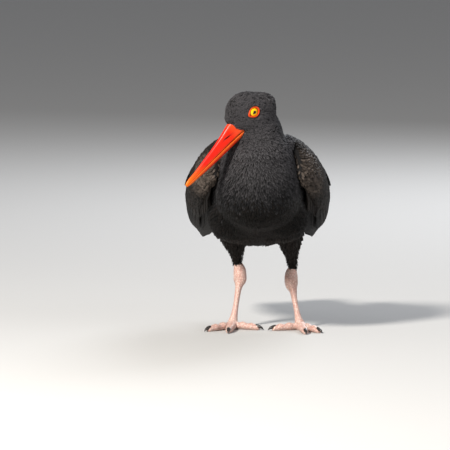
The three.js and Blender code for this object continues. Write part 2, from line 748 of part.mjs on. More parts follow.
// The floor under the middle of the bird's box is the zero point.
const box = new THREE.Box3().setFromObject(bird);
bird.position.set(-(box.min.x + box.max.x) / 2, -(box.min.y + box.max.y) / 2, -box.min.z);

export default bird;
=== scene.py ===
# A life-size black oystercatcher on a plain pale floor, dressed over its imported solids.
# The bird faces -Y, its left side is +X, and its head is turned and dipped to its right.
# Shapes are worked out in millimetres in the bird's own frame and then put in place.
import bmesh
import bpy
import math
import numpy as np
from mathutils import Matrix, Vector
from mathutils.bvhtree import BVHTree


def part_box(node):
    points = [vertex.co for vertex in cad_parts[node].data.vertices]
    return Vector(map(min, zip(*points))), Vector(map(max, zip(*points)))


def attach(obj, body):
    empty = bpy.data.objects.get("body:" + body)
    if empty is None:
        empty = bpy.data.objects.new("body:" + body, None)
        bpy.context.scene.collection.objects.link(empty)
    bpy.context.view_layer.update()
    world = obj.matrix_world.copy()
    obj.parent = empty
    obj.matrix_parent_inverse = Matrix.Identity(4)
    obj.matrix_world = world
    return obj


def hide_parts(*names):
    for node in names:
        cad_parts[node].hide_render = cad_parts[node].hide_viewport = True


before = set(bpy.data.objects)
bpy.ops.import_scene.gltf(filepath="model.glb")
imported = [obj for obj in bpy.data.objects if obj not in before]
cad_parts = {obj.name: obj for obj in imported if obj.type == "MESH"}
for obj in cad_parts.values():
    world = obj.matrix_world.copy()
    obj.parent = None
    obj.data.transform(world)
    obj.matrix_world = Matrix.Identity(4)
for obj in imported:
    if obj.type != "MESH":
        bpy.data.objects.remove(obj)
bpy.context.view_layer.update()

# Flesh and skin
# One skin covers head, neck, body and thighs. It is grown over copies of the solids, with the eye
# hollows filled to a shallow bed, smoothed, drawn in by the depth of the coat, and downy all over.
COAT_DEPTH = 1.2
SKIN_GRAIN = 1.3
FLESH = ["torso", "neck", "head", "thigh_left", "thigh_right"]
EYE_BED = (8.8, 2.9, 8.4)
FOREHEAD = (12.2, 7.2, 9.6)
NECK_SLOPE = (13.5, 23, 28)
HORN_WALL = 0.7

# The head is turned 62 degrees to the bird's right and its mouth line dips 39.5 degrees.
# The point between the two eyeballs is known in the bird's frame, so it gives the place of all else.
HEAD_YAW = math.radians(62)
HEAD_DIP = math.radians(39.5)
HEAD_MIDDLE = np.array([-11.0, -28.0, 227.0])
AHEAD = np.array([
    -math.sin(HEAD_YAW) * math.cos(HEAD_DIP),
    -math.cos(HEAD_YAW) * math.cos(HEAD_DIP),
    -math.sin(HEAD_DIP),
])
LEFT = np.array([math.cos(HEAD_YAW), -math.sin(HEAD_YAW), 0.0])
UP = np.array([
    -math.sin(HEAD_YAW) * math.sin(HEAD_DIP),
    -math.cos(HEAD_YAW) * math.sin(HEAD_DIP),
    math.cos(HEAD_DIP),
])
eye_boxes = [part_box("eye_left"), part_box("eye_right")]
between_eyes = sum((np.array(lo) + np.array(hi) for lo, hi in eye_boxes), np.zeros(3)) / 4
SHIFT = between_eyes - HEAD_MIDDLE / 1000


def placed(points):
    """Metres in the model's frame, from millimetres in the bird's frame."""
    return np.asarray(points, float) / 1000 + SHIFT


def in_bird(places):
    """Millimetres in the bird's frame, from metres in the model's frame."""
    return (places - SHIFT) * 1000


def in_head(ahead, left, up):
    """A place in the bird's frame, from its distances ahead of, left of and above the eyes' middle."""
    outer = np.multiply.outer
    return HEAD_MIDDLE + outer(ahead, AHEAD) + outer(left, LEFT) + outer(up, UP)


def from_head(points):
    """How far points of the bird's frame are ahead of, left of and above the eyes' middle."""
    about = points - HEAD_MIDDLE
    return np.stack([about @ AHEAD, about @ LEFT, about @ UP], axis=1)


def follow(rows, column, at):
    """A smooth value of one column of a table, by cubic steps through its knots."""
    table = np.asarray(rows, float)
    x = table[:, 0]
    y = table[:, column]
    k = np.arange(len(x))
    lower = np.maximum(k - 1, 0)
    upper = np.minimum(k + 1, len(x) - 1)
    slope = (y[upper] - y[lower]) / (x[upper] - x[lower])
    at = np.asarray(at, float)
    i = np.clip(np.searchsorted(x, at) - 1, 0, len(x) - 2)
    span = x[i + 1] - x[i]
    t = np.clip((at - x[i]) / span, 0, 1)
    start = (2 * t**3 - 3 * t**2 + 1) * y[i] + (t**3 - 2 * t**2 + t) * span * slope[i]
    end = (3 * t**2 - 2 * t**3) * y[i + 1] + (t**3 - t**2) * span * slope[i + 1]
    return start + end


# The skin runs in under the bill, so the bill's sizes are needed here. Each row gives a distance ahead
# of the eyes, then the heights of the bill's top, mouth line and bottom, and its half width.
BILL = [
    [12, 6.6, -9.9, -14.2, 7.6],
    [18, 5.6, -10.0, -14.7, 7.2],
    [26.6, 4.0, -10.2, -15.3, 5.8],
    [40, 0.2, -10.5, -15.7, 4.6],
    [54, -2.9, -10.9, -15.8, 3.7],
    [68, -5.3, -11.2, -15.6, 3.0],
    [82, -7.6, -11.6, -15.0, 2.2],
    [94, -9.0, -12.0, -14.4, 1.6],
    [98.6, -10.6, -12.2, -13.6, 0.9],
]
FEATHER_LINE = np.array([
    [-15.2, 28.5], [-12.5, 21.5], [-9.9, 16.8], [-5, 20.8], [0, 24], [3.6, 27.4], [7, 28.5],
])


def bill_half_width(ahead, up):
    """Half the bill's width at a height on its side, above or below its mouth line."""
    top, mouth, bottom, half = (follow(BILL, k, ahead) for k in range(1, 5))
    share = np.where(up > mouth, (up - mouth) / (top - mouth), (mouth - up) / (mouth - bottom))
    sine = np.clip(share, 0, 1) ** (1 / 0.9)
    return half * np.sqrt(np.maximum(1 - sine**2, 0)) ** 0.8


def feather_line(up):
    """How far ahead of the eyes the feathers reach on the side of the bill."""
    return np.interp(up, FEATHER_LINE[:, 0], FEATHER_LINE[:, 1])


def add_ellipsoid(form, centre, turned, radii, around=32):
    """A ball stretched to three radii, turned and put in its place in a form."""
    spot = Matrix.Translation(Vector(placed(centre))) @ turned
    spot = spot @ Matrix.Diagonal((*(radius / 1000 for radius in radii), 1))
    made = bmesh.ops.create_uvsphere(
        form, u_segments=around, v_segments=around // 2, radius=1, matrix=spot
    )
    return made["verts"]


def new_piece(name, form):
    """The smooth object that a finished form makes."""
    mesh = bpy.data.meshes.new(name)
    form.to_mesh(mesh)
    form.free()
    mesh.polygons.foreach_set("use_smooth", [True] * len(mesh.polygons))
    piece = bpy.data.objects.new(name, mesh)
    bpy.context.scene.collection.objects.link(piece)
    return piece


class Paint:
    """A material in the making. Each node is added with its settings and its inputs."""

    def __init__(self, name):
        self.material = bpy.data.materials.new(name)
        self.material.use_nodes = True

    def fill(self, node, inputs):
        """Give each input its value, or link it to the output of another node."""
        for name, value in inputs.items():
            if isinstance(value, bpy.types.NodeSocket):
                self.material.node_tree.links.new(value, node.inputs[name])
            else:
                node.inputs[name].default_value = value

    def add(self, kind, inputs, **settings):
        node = self.material.node_tree.nodes.new("ShaderNode" + kind)
        for setting, value in settings.items():
            setattr(node, setting, value)
        self.fill(node, inputs)
        return node

    def place(self):
        """Where a point is on its own object."""
        return self.add("TexCoord", {}).outputs["Object"]

    def mix(self, first, second, factor=1, how="MIX"):
        """Two colours mixed or multiplied, each a plain colour or the output of a node."""
        node = self.add("Mix", {"Factor": factor}, data_type="RGBA", blend_type=how)
        for name, colour in (("A", first), ("B", second)):
            self.fill(node, {name: (*colour, 1) if isinstance(colour, tuple) else colour})
        return node.outputs["Result"]

    def ramp(self, value, low, high, stops):
        """Colours spread over a range of a value, given in order from its start to its end."""
        spread = self.add("MapRange", {"Value": value, "From Min": low, "From Max": high})
        band = self.add("ValToRGB", {"Fac": spread.outputs["Result"]})
        elements = band.color_ramp.elements
        for k, (at, colour) in enumerate(stops):
            if 0 < k < len(stops) - 1:
                element = elements.new(at)
            else:
                element = elements[0 if k == 0 else len(elements) - 1]
            element.color = (*colour, 1)
        return band.outputs["Color"]

    def bump(self, height, strength, distance=0.0002, **settings):
        """Fine relief, from the heights of a pattern."""
        inputs = {"Height": height, "Strength": strength, "Distance": distance}
        return self.add("Bump", inputs, **settings).outputs["Normal"]

    def finish(self, colour, rough, shine, more):
        """Give the surface its colour and gloss, and hand over the material."""
        surface = self.material.node_tree.nodes["Principled BSDF"]
        self.fill(surface, {"Base Color": colour, "Roughness": rough, "Specular IOR Level": shine})
        self.fill(surface, more)
        return self.material


def grainy(name, dark, light, scale, rough, shine):
    """Plain stuff with a fine uneven grain: down under the feathers, or the horn of a claw."""
    paint = Paint(name)
    grain = paint.add("TexNoise", {"Vector": paint.place(), "Scale": scale, "Detail": 3}).outputs["Fac"]
    return paint.finish(paint.mix(dark, light, grain), rough, shine, {"Normal": paint.bump(grain, 0.3)})


head_turn = Matrix((AHEAD, LEFT, UP)).transposed().to_4x4()
flesh_form = bmesh.new()
for node in FLESH:
    flesh_form.from_mesh(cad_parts[node].data)
bmesh.ops.remove_doubles(flesh_form, verts=flesh_form.verts, dist=0.00001)
for side in (1, -1):
    add_ellipsoid(flesh_form, in_head(-0.3, side * 12.2, -0.2), head_turn, EYE_BED)
add_ellipsoid(flesh_form, in_head(13.5, 0, 6.2), head_turn, FOREHEAD)
for side in (1, -1):
    add_ellipsoid(flesh_form, [side * 20 - 1, 0, 176], Matrix.Rotation(side * 0.5, 4, "Y"), NECK_SLOPE)
skin = new_piece("skin", flesh_form)
grown = skin.modifiers.new("grown", "REMESH")
grown.mode = "VOXEL"
grown.voxel_size = SKIN_GRAIN / 1000
softened = skin.modifiers.new("softened", "SMOOTH")
softened.factor = 0.5
softened.iterations = 10
drawn_in = skin.modifiers.new("drawn_in", "DISPLACE")
drawn_in.strength = -COAT_DEPTH / 1000
drawn_in.mid_level = 0
finished = bpy.data.meshes.new_from_object(skin.evaluated_get(bpy.context.evaluated_depsgraph_get()))
skin.modifiers.clear()
skin.data = finished
skin.data.polygons.foreach_set("use_smooth", [True] * len(skin.data.polygons))

# Beyond the feather line the skin is tucked in under the horn of the bill.
spots = np.array([v.co for v in skin.data.vertices])
ahead, left, up = from_head(in_bird(spots)).T
near_bill = (ahead > 10) & (np.abs(left) < 14) & (up > -15.6) & (up < 5.5)
beyond = np.clip((ahead - feather_line(up) + 1.2) / 1.6, 0, 1)
under_horn = np.maximum(bill_half_width(ahead, up) - HORN_WALL, 0.2)
excess = np.where(near_bill, beyond * np.maximum(np.abs(left) - under_horn, 0), 0)
spots = spots - (excess * np.sign(left) / 1000)[:, None] * LEFT
skin.data.vertices.foreach_set("co", spots.ravel())
skin.data.update()
under_down = grainy("under_down", (0.004, 0.004, 0.004), (0.016, 0.015, 0.015), 900, 0.9, 0.1)
skin.data.materials.clear()
skin.data.materials.append(under_down)
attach(skin, "root")
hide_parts(*FLESH)
skin_tree = BVHTree.FromObject(skin, bpy.context.evaluated_depsgraph_get())

# Body coat
# Small soft feathers cover the skin, finest on the face and longest on the flanks. They are near black,
# slate in front and browner on belly and back, and each is a little lighter or darker than the next.
# Fine barbs run out from each shaft, and bill and eyes are left bare.
SPINE = np.array([
    [0, 138, 118], [0, 95, 131], [0, 50, 144], [0, 8, 158], [-3, -14, 180], [-7, -22, 204], [-11, -26, 222],
], float)
TRIES = 260000
BODY_GAP = 0.285
HEAD_GAP = 0.25
CELL = 3.0
SHIN_TOP = 97
PATCH = 0.003
SHORT = {"across": [-1, 0, 1], "along": [0, 0.4, 0.75, 1], "caps": [[0, 1, 2, 3]]}
FULL = {
    "across": [-1, -0.52, 0, 0.52, 1],
    "along": [0, 0.32, 0.62, 0.86, 1],
    "caps": [[0, 1, 2, 5], [2, 3, 4, 5]],
}


def nearest(tree, points):
    """The closest places on a surface and its outward directions there."""
    places = np.empty((len(points), 3))
    outward = np.empty((len(points), 3))
    for i, point in enumerate(points):
        place, normal, _, _ = tree.find_nearest(point)
        places[i] = place
        outward[i] = normal
    return places, outward


def unit(vectors):
    return vectors / np.maximum(np.linalg.norm(vectors, axis=-1, keepdims=True), 1e-9)


def smooth_step(value, start, end):
    t = np.clip((value - start) / (end - start), 0, 1)
    return t * t * (3 - 2 * t)


def plumage(name, dark, light, rough, shine, barbs=0.25, sheen=0.0):
    """Feather stuff that reads each vane's own tone and the run of its barbs."""
    paint = Paint(name)
    tone = paint.add("Attribute", {}, attribute_name="tone").outputs["Fac"]
    barb = paint.add("Attribute", {}, attribute_name="barb").outputs["Vector"]
    wave = paint.add(
        "TexWave", {"Vector": barb, "Scale": 1.0, "Distortion": 0.6, "Detail": 1.0},
        wave_type="BANDS", bands_direction="X",
    ).outputs["Fac"]
    more = {"Normal": paint.bump(wave, barbs), "Sheen Weight": sheen, "Sheen Roughness": 0.4}
    return paint.finish(paint.mix(dark, light, tone), rough, shine, more)


slate_plumage = plumage("slate_plumage", (0.003, 0.003, 0.0033), (0.074, 0.070, 0.074), 0.55, 0.12)
belly_plumage = plumage("belly_plumage", (0.0025, 0.0023, 0.0021), (0.018, 0.0145, 0.0125), 0.6, 0.1)
back_plumage = plumage(
    "back_plumage", (0.0055, 0.005, 0.0045), (0.042, 0.034, 0.028), 0.55, 0.2, sheen=0.02
)


def vane_faces(ring, rings, caps):
    """The faces of one closed vane: walls from ring to ring, and a cap on each end."""
    corner = np.arange(ring)
    after = (corner + 1) % ring
    row = (np.arange(rings - 1) * ring)[:, None]
    walls = np.stack([row + corner, row + after, row + ring + after, row + ring + corner], axis=-1)
    caps = np.array(caps)
    return np.concatenate([walls.reshape(-1, 4), caps[:, ::-1], caps + (rings - 1) * ring])


def quills(name, verts, faces, material, tone, barb, patch):
    """A mesh of many feathers, with its tone, barb and map values, made from arrays."""
    mesh = bpy.data.meshes.new(name)
    mesh.vertices.add(len(verts))
    mesh.vertices.foreach_set("co", np.asarray(verts, np.float32).ravel())
    mesh.loops.add(faces.size)
    mesh.loops.foreach_set("vertex_index", faces.ravel())
    mesh.polygons.add(len(faces))
    mesh.polygons.foreach_set("loop_start", np.arange(len(faces)) * faces.shape[1])
    mesh.polygons.foreach_set("use_smooth", np.ones(len(faces), bool))
    mesh.update()
    tones = mesh.attributes.new("tone", "FLOAT", "POINT")
    tones.data.foreach_set("value", tone.astype(np.float32))
    barbs = mesh.attributes.new("barb", "FLOAT_VECTOR", "POINT")
    barbs.data.foreach_set("vector", barb.astype(np.float32).ravel())
    layer = mesh.uv_layers.new(name="OFBake")
    layer.data.foreach_set("uv", patch[faces.ravel()].astype(np.float32).ravel())
    mesh.validate()
    piece = bpy.data.objects.new(name, mesh)
    bpy.context.scene.collection.objects.link(piece)
    mesh.materials.append(material)
    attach(piece, "root")
    return piece


def scatter(piece, tries, gap_at, seed, wanted=None):
    """Roots spread evenly over a piece, no closer to each other than the gap at each place."""
    rng = np.random.default_rng(seed)
    corners = np.array([v.co for v in piece.data.vertices])
    piece.data.calc_loop_triangles()
    tri = corners[np.array([t.vertices for t in piece.data.loop_triangles])]
    middle = in_bird(tri.mean(axis=1))
    outward = np.cross(tri[:, 1] - tri[:, 0], tri[:, 2] - tri[:, 0])
    weight = np.linalg.norm(outward, axis=1) / gap_at(middle) ** 2
    if wanted is not None:
        weight = weight * wanted(middle, outward)
    tri = tri[rng.choice(len(tri), tries, p=weight / weight.sum())]
    a, b = rng.random(tries), rng.random(tries)
    flip = a + b > 1
    a[flip], b[flip] = 1 - a[flip], 1 - b[flip]
    roots = tri[:, 0] + a[:, None] * (tri[:, 1] - tri[:, 0]) + b[:, None] * (tri[:, 2] - tri[:, 0])
    local = in_bird(roots)
    room = gap_at(local) ** 2
    cells = np.floor(local / CELL).astype(int)
    taken = {}
    kept = []
    around = [(x, y, z) for x in (-1, 0, 1) for y in (-1, 0, 1) for z in (-1, 0, 1)]
    for i, ((x, y, z), (cx, cy, cz), gap) in enumerate(zip(local.tolist(), cells.tolist(), room.tolist())):
        clear = True
        for dx, dy, dz in around:
            for ox, oy, oz in taken.get((cx + dx, cy + dy, cz + dz), ()):
                if (ox - x) ** 2 + (oy - y) ** 2 + (oz - z) ** 2 < gap:
                    clear = False
                    break
            if not clear:
                break
        if clear:
            kept.append(i)
            taken.setdefault((cx, cy, cz), []).append((x, y, z))
    return local[kept]


def body_length(points):
    """How long a feather is at each place, in millimetres."""
    head = from_head(points)
    face = smooth_step(head[:, 0], -14, 18)
    on_head = 4.2 - 2.2 * face
    eye = np.min([np.linalg.norm(head - [0, s * 15, 0], axis=1) for s in (1, -1)], axis=0)
    on_head = np.minimum(on_head, 1.2 + 0.17 * eye)
    off_head = smooth_step(np.linalg.norm(head + [4, 0, 4], axis=1), 20, 75)
    under = smooth_step(points[:, 2], 165, 105)
    rear = smooth_step(points[:, 1], 0, 60)
    flank = smooth_step(np.abs(points[:, 0]), 30, 46) * smooth_step(points[:, 2], 150, 128)
    length = on_head + off_head * (2.6 + 1.0 * under + 2.6 * rear + 2.4 * flank)
    shin = smooth_step(points[:, 2], SHIN_TOP, 84)
    hem = smooth_step(points[:, 2], 76, 64)
    return length * (1 - shin) + (5.6 - 2.4 * hem) * shin


def coat_gap(points):
    """How far apart the feathers' roots are, closest on the head."""
    from_eyes = np.linalg.norm(points - HEAD_MIDDLE, axis=1)
    return body_length(points) * (BODY_GAP + (HEAD_GAP - BODY_GAP) * smooth_step(from_eyes, 45, 30))


def body_flow(points):
    """The way the feathers lie: back from the bill, down the neck, then back and down the body."""
    head = from_head(points)
    distance = np.linalg.norm(SPINE[:, None, :] - points[None, :, :], axis=2)
    weight = np.exp(-distance / 9.0)
    tangent = (weight.T @ np.gradient(SPINE, axis=0)) / weight.sum(axis=0)[:, None]
    body = unit(unit(-tangent) + np.array([0, 0.2, -0.15]))
    on_head = smooth_step(np.linalg.norm(head + [6, 0, 8], axis=1), 38, 22)[:, None]
    nape = smooth_step(head[:, :1], -22, 4)
    around = unit(-AHEAD * (0.25 + 1.1 * nape) + np.array([0.0, 0.1, -0.8]) * (1.1 - 0.75 * nape))
    mixed = body * (1 - on_head) + around * on_head
    shin = smooth_step(points[:, 2:3], 100, 88)
    return unit(mixed * (1 - shin) + np.array([0, 0.25, -1.0]) * shin)


def coat_piece(name, tree, points, flow, long, wide, uv, cut, material, root_lift, tip_lift,
               shade, vary, crown, seed, blunt=0.3, edge=0.06):
    """Many small overlapping feathers, each on a shaft that hugs the surface and lifts at its tip."""
    rng = np.random.default_rng(seed)
    n = len(points)
    across_at = [*cut["across"], 0]
    stations = cut["along"]
    ring = len(across_at)
    here, normal = nearest(tree, placed(points))
    way = flow + rng.normal(0, 0.08, flow.shape)
    way = unit(way - np.sum(way * normal, axis=1, keepdims=True) * normal)
    turn = rng.normal(0, 0.1, n)
    half = wide / 2
    shape = np.interp(stations, [0, 0.3, 0.6, 0.86, 1], [0.35, 0.85, 1.0, 0.8, blunt])
    verts = np.empty((n, len(stations), ring, 3))
    tone = np.empty((n, len(stations), ring))
    barb = np.zeros((n, len(stations), ring, 3))
    patch = np.empty((n, len(stations), ring, 2))
    tint = np.clip(rng.normal(shade, vary, n), 0.0, 1)
    ragged = rng.uniform(-0.12, 0.06, (n, ring))
    top_lift = tip_lift * rng.uniform(0.65, 1.25, n)
    last = 0.0
    for k, station in enumerate(stations):
        if station > last:
            step = (station - last) * long / 1000
            bend = unit(way + np.cross(normal, way) * (turn * station)[:, None])
            ahead = here + bend * step[:, None]
            here, facing = nearest(tree, ahead)
            off_edge = (np.sum(facing * normal, axis=1) < 0.6)[:, None]
            here = np.where(off_edge, ahead, here)
            normal = np.where(off_edge, normal, facing)
            way = unit(bend - np.sum(bend * normal, axis=1, keepdims=True) * normal)
        last = station
        across = np.cross(way, normal)
        shaft = here + normal * ((root_lift + (top_lift - root_lift) * station**0.9) / 1000)[:, None]
        for j, c in enumerate(across_at):
            under = j == ring - 1
            rise = (-0.12 if under else crown * (1 - c * c)) * half
            spread = half * shape[k] * c
            fringe = ragged[:, j] * long if k == len(stations) - 1 else 0 * long
            verts[:, k, j] = (
                shaft + across * (spread / 1000)[:, None] + normal * (rise / 1000)[:, None]
                + way * (fringe / 1000)[:, None]
            )
            tone[:, k, j] = tint * (0.5 + 0.65 * station) + (edge * abs(c) if station > 0.5 else 0)
            barb[:, k, j, 0] = station * long + abs(c) * half * 0.9
            barb[:, k, j, 1] = c * half
            patch[:, k, j] = uv + PATCH * np.array([c / 2, station - 0.5])
    one = vane_faces(ring, len(stations), cut["caps"])
    faces = (one[None] + (np.arange(n) * len(stations) * ring)[:, None, None]).reshape(-1, 4)
    return quills(
        name, verts.reshape(-1, 3), faces, material, tone.ravel(), barb.reshape(-1, 3), patch.reshape(-1, 2)
    )


def skin_map(points):
    """A place on the map for each point of the skin: its turn round the spine and its way along it."""
    steps = np.concatenate([[0], np.cumsum(np.linalg.norm(np.diff(SPINE, axis=0), axis=1))])
    best = np.full(len(points), 1e9)
    along = np.zeros(len(points))
    turn = np.zeros(len(points))
    side = np.array([1.0, 0, 0])
    for k in range(len(SPINE) - 1):
        way = SPINE[k + 1] - SPINE[k]
        t = np.clip(((points - SPINE[k]) @ way) / (way @ way), 0, 1)
        off = points - (SPINE[k] + t[:, None] * way)
        distance = np.linalg.norm(off, axis=1)
        rise = np.cross(side, unit(way))
        better = distance < best
        best = np.where(better, distance, best)
        along = np.where(better, steps[k] + t * np.linalg.norm(way), along)
        turn = np.where(better, np.arctan2(off @ rise, off @ side), turn)
    u = 0.02 + 0.6 * (turn / (2 * math.pi) + 0.5)
    v = 0.02 + 0.96 * along / steps[-1]
    leg = points[:, 2] < 98
    u = np.where(leg, 0.68 + 0.12 * (points[:, 0] > 0) + 0.1 * ((points[:, 1] % 40) / 40), u)
    v = np.where(leg, 0.05 + 0.9 * (points[:, 2] - 55) / 50, v)
    return np.stack([u, v], axis=1)


# A folded wing hides part of the body, so its chart comes first and no feather grows under it. Each row
# gives a distance back, the chart's side and height there, its rise, its drop and the tuck of its hem.
WING = [
    [-24, 42, 156, 22, 3, 1],
    [5, 54.5, 151, 46, 14, 8],
    [38, 63, 143, 54, 24, 16],
    [88, 69, 130, 44, 33, 22],
    [138, 66, 114, 29, 27, 11],
    [183, 58.5, 99, 17, 17, 3],
    [214, 52, 90, 8, 8, 1],
]


def wing_surface(back, up):
    side, height, rise, drop, tuck = (follow(WING, k, back) for k in range(1, 6))
    hang = np.hypot(drop, tuck)
    below = np.maximum(hang - up, 0) / hang
    turn = np.maximum(up - hang, 0) / ((side + rise) / 2)
    hem = up < hang
    x = np.where(hem, side - tuck * below**3, side * np.cos(turn))
    z = np.where(hem, height - drop * below, height + rise * np.sin(turn))
    return np.stack([x, back, z], axis=-1)


def on_wing(back, up, lift):
    """A point of the folded left wing: back along it, up over it, and out from its surface."""
    back, up, lift = np.broadcast_arrays(back, up, lift)
    backward = wing_surface(back + 1.0, up) - wing_surface(back - 1.0, up)
    upward = wing_surface(back, up + 1.0) - wing_surface(back, up - 1.0)
    return wing_surface(back, up) + unit(np.cross(backward, upward)) * lift[..., None]


# The fleshy arm in the wing: distance back, lower and upper edge on the chart, and the thickness of its
# outer and inner side.
ARM = [
    [-24, 5, 13, 3, 3],
    [-12, 3, 36, 6.8, 6],
    [6, 4, 76, 8.6, 7.5],
    [24, 6, 90, 7.4, 7],
    [46, 9, 98, 5.4, 6],
    [76, 12, 98, 3.4, 4.5],
    [92, 16, 90, 1.4, 2.5],
    [112, 20, 80, 0.4, 1],
]
wing_back, wing_up = np.meshgrid(np.arange(-20, 112, 3.0), np.linspace(0.06, 0.94, 24), indexing="ij")
arm_low = follow(ARM, 1, wing_back)
arm_high = follow(ARM, 2, wing_back)
under_wing = on_wing(wing_back, arm_low + (arm_high - arm_low) * wing_up, 0.0).reshape(-1, 3)

points = scatter(skin, TRIES, coat_gap, 11)
head = from_head(points)
on_bill = (head[:, 0] > feather_line(head[:, 2]) - 0.3) & (np.abs(head[:, 1]) < 12)
on_bill &= (head[:, 2] > -15.8) & (head[:, 2] < 6)
on_eye = (np.hypot((head[:, 0] - 0.3) / 6.4, head[:, 2] / 4.9) < 1.0) & (np.abs(head[:, 1]) > 7)
hidden = np.zeros(len(points), bool)
for flank in (1, -1):
    cover = under_wing * np.array([flank, 1, 1])
    for start in range(0, len(points), 2000):
        part = slice(start, start + 2000)
        gap = np.linalg.norm(points[part, None, :] - cover[None], axis=2).min(axis=1)
        cutoff = np.where(points[part, 2] > 168, 2.5, 5.5)
        hidden[part] |= (points[part, 0] * flank > 0) & (gap < cutoff)
keep = ~(on_bill | on_eye | hidden)
points = points[keep]
from_eyes = np.linalg.norm(head[keep], axis=1)
long = body_length(points)
long = long * np.random.default_rng(5).uniform(0.88, 1.15, len(long))
wide = long * np.interp(long, [1.5, 4, 6, 9, 12], [0.44, 0.38, 0.38, 0.46, 0.5])
flow = body_flow(points)
uv = skin_map(points)

side, back, height = points.T
is_shin = (height < SHIN_TOP) & (np.abs(side) > 8) & (back < 95)
is_head = (from_eyes < 31) & ~is_shin
is_neck = (height > 183) & (back < 30) & ~is_head
is_back = (height > 158 - 0.35 * (back - 20)) & (back > 8) & ~is_head & ~is_neck
breast_hem = 132 + np.random.default_rng(9).normal(0, 6, len(points))
is_breast = (height > breast_hem) & (back <= 30) & ~is_head & ~is_neck & ~is_back
is_belly = ~(is_shin | is_head | is_neck | is_back | is_breast)
# Each coat has its own tone. Breast and belly are also painted darker lower down: painted shade under the
# light from above.
tone_and_shade_at = 0.02 + 0.42 * smooth_step(height, 122, 180)
tone_and_shade_at = np.where(is_belly, 0.16 + 0.16 * smooth_step(height, 116, 140), tone_and_shade_at)
tone_and_shade_at = np.where(is_head, 0.85, np.where(is_neck, 0.62, tone_and_shade_at))
tone_and_shade_at = np.where(is_shin, 0.8, tone_and_shade_at)
flank_lift = 1.1 + 1.2 * smooth_step(np.abs(side), 32, 46) * smooth_step(height, 128, 116)
COATS = (
    ("coat_head", is_head, SHORT, slate_plumage, "slate_plumage", -0.3, 0.8, 0.36, 0.36),
    ("coat_neck", is_neck, FULL, slate_plumage, "slate_plumage", -0.3, 0.9, 0.3, 0.3),
    ("coat_breast", is_breast, FULL, slate_plumage, "slate_plumage", -0.3, 0.85, 0.18, 0.15),
    ("coat_back", is_back, FULL, back_plumage, "brown_plumage", -0.4, 1.1, 0.16, 0.16),
    ("coat_belly", is_belly, FULL, belly_plumage, "brown_plumage", -0.3, flank_lift[is_belly], 0.2, 0.15),
    ("coat_thighs", is_shin, SHORT, belly_plumage, "brown_plumage", -0.3, 2.0, 0.3, 0.2),
)
for seed, (name, chosen, cut, material, slot, root_lift, tip_lift, crown, vary) in enumerate(COATS, 3):
    piece = coat_piece(
        name, skin_tree, points[chosen], flow[chosen], long[chosen], wide[chosen], uv[chosen], cut, material,
        root_lift, tip_lift, tone_and_shade_at[chosen], vary, crown, seed,
    )

# Folded wings
# Each wing lies closed along the flank: long primaries under secondaries and tertials, then rows of
# coverts up to the wrist, and soft scapulars over the shoulder. Wrist coverts are worn warm brown.
# A row gives how many feathers it has, then its first and its last: the root's and the tip's places
# back along and up over the wing, the width, the lift off the wing and the tilt.
WING_ROWS = {
    "flight_feathers": [
        (8, (-2, 4, 213, 5, 11, 0, -0.13), (50, 46, 160, 47, 12, 0, -0.13),
         dict(shade=0.03, vary=0.015, stations=26, point=0.16, dig=1)),
        (10, (36, 14, 114, 12, 11, 2.6, -0.13), (74, 50, 152, 46, 11.5, 2.8, -0.13),
         dict(shade=0.04, vary=0.02, stations=18, point=0.14)),
        (6, (80, 54, 168, 53, 13.5, 4.6, -0.12), (64, 88, 144, 88, 14, 5.2, -0.12),
         dict(shade=0.07, vary=0.03, stations=20, dig=4)),
    ],
    "coverts": [
        (5, (-16, 5, 34, 4, 7, 2.2, -0.12), (-4, 13, 68, 11, 8, 2.8, -0.12), dict(shade=0.1, vary=0.04)),
        (10, (14, 14, 62, 11, 10, 4.0, -0.12), (44, 50, 98, 46, 11, 4.4, -0.12),
         dict(shade=0.06, vary=0.03, point=0.3, dig=2.5, curl=-0.8)),
        (11, (-2, 13, 36, 12, 10, 5.4, -0.12), (26, 56, 68, 54, 11, 5.8, -0.12),
         dict(shade=0.07, vary=0.03, stations=12, point=0.36, dig=2.5, curl=-1.0, worn=0.1)),
    ],
    "scapulars": [
        (6, (50, 60, 106, 60, 14, 6.6, -0.1), (38, 88, 98, 92, 14, 7, -0.1),
         dict(shade=0.08, vary=0.03, point=0.3, dig=5)),
    ],
}
COVERT_GAP = 0.32
ACROSS = [1, 0.72, 0.36, 0.07, 0, -0.07, -0.36, -0.72, -1]
UNDER = [-0.6, 0, 0.6]
VANE_CAPS = [[0, 1, 2, 11], [2, 3, 4, 11], [4, 5, 10, 11], [5, 6, 9, 10], [6, 7, 8, 9]]
MAP_CELLS = 20
wing_plumage = plumage(
    "wing_plumage", (0.0015, 0.0013, 0.0012), (0.135, 0.108, 0.090), 0.55, 0.07, barbs=0.35
)
rng = np.random.default_rng(29)


class Quills:
    """Gathers the vanes of one piece until its mesh is made."""

    def __init__(self):
        self.verts, self.faces, self.tone, self.barb, self.patch = [], [], [], [], []
        self.count = 0
        self.cells = 0


def tinted(shade, vary):
    return float(np.clip(rng.normal(shade, vary), 0, 1))


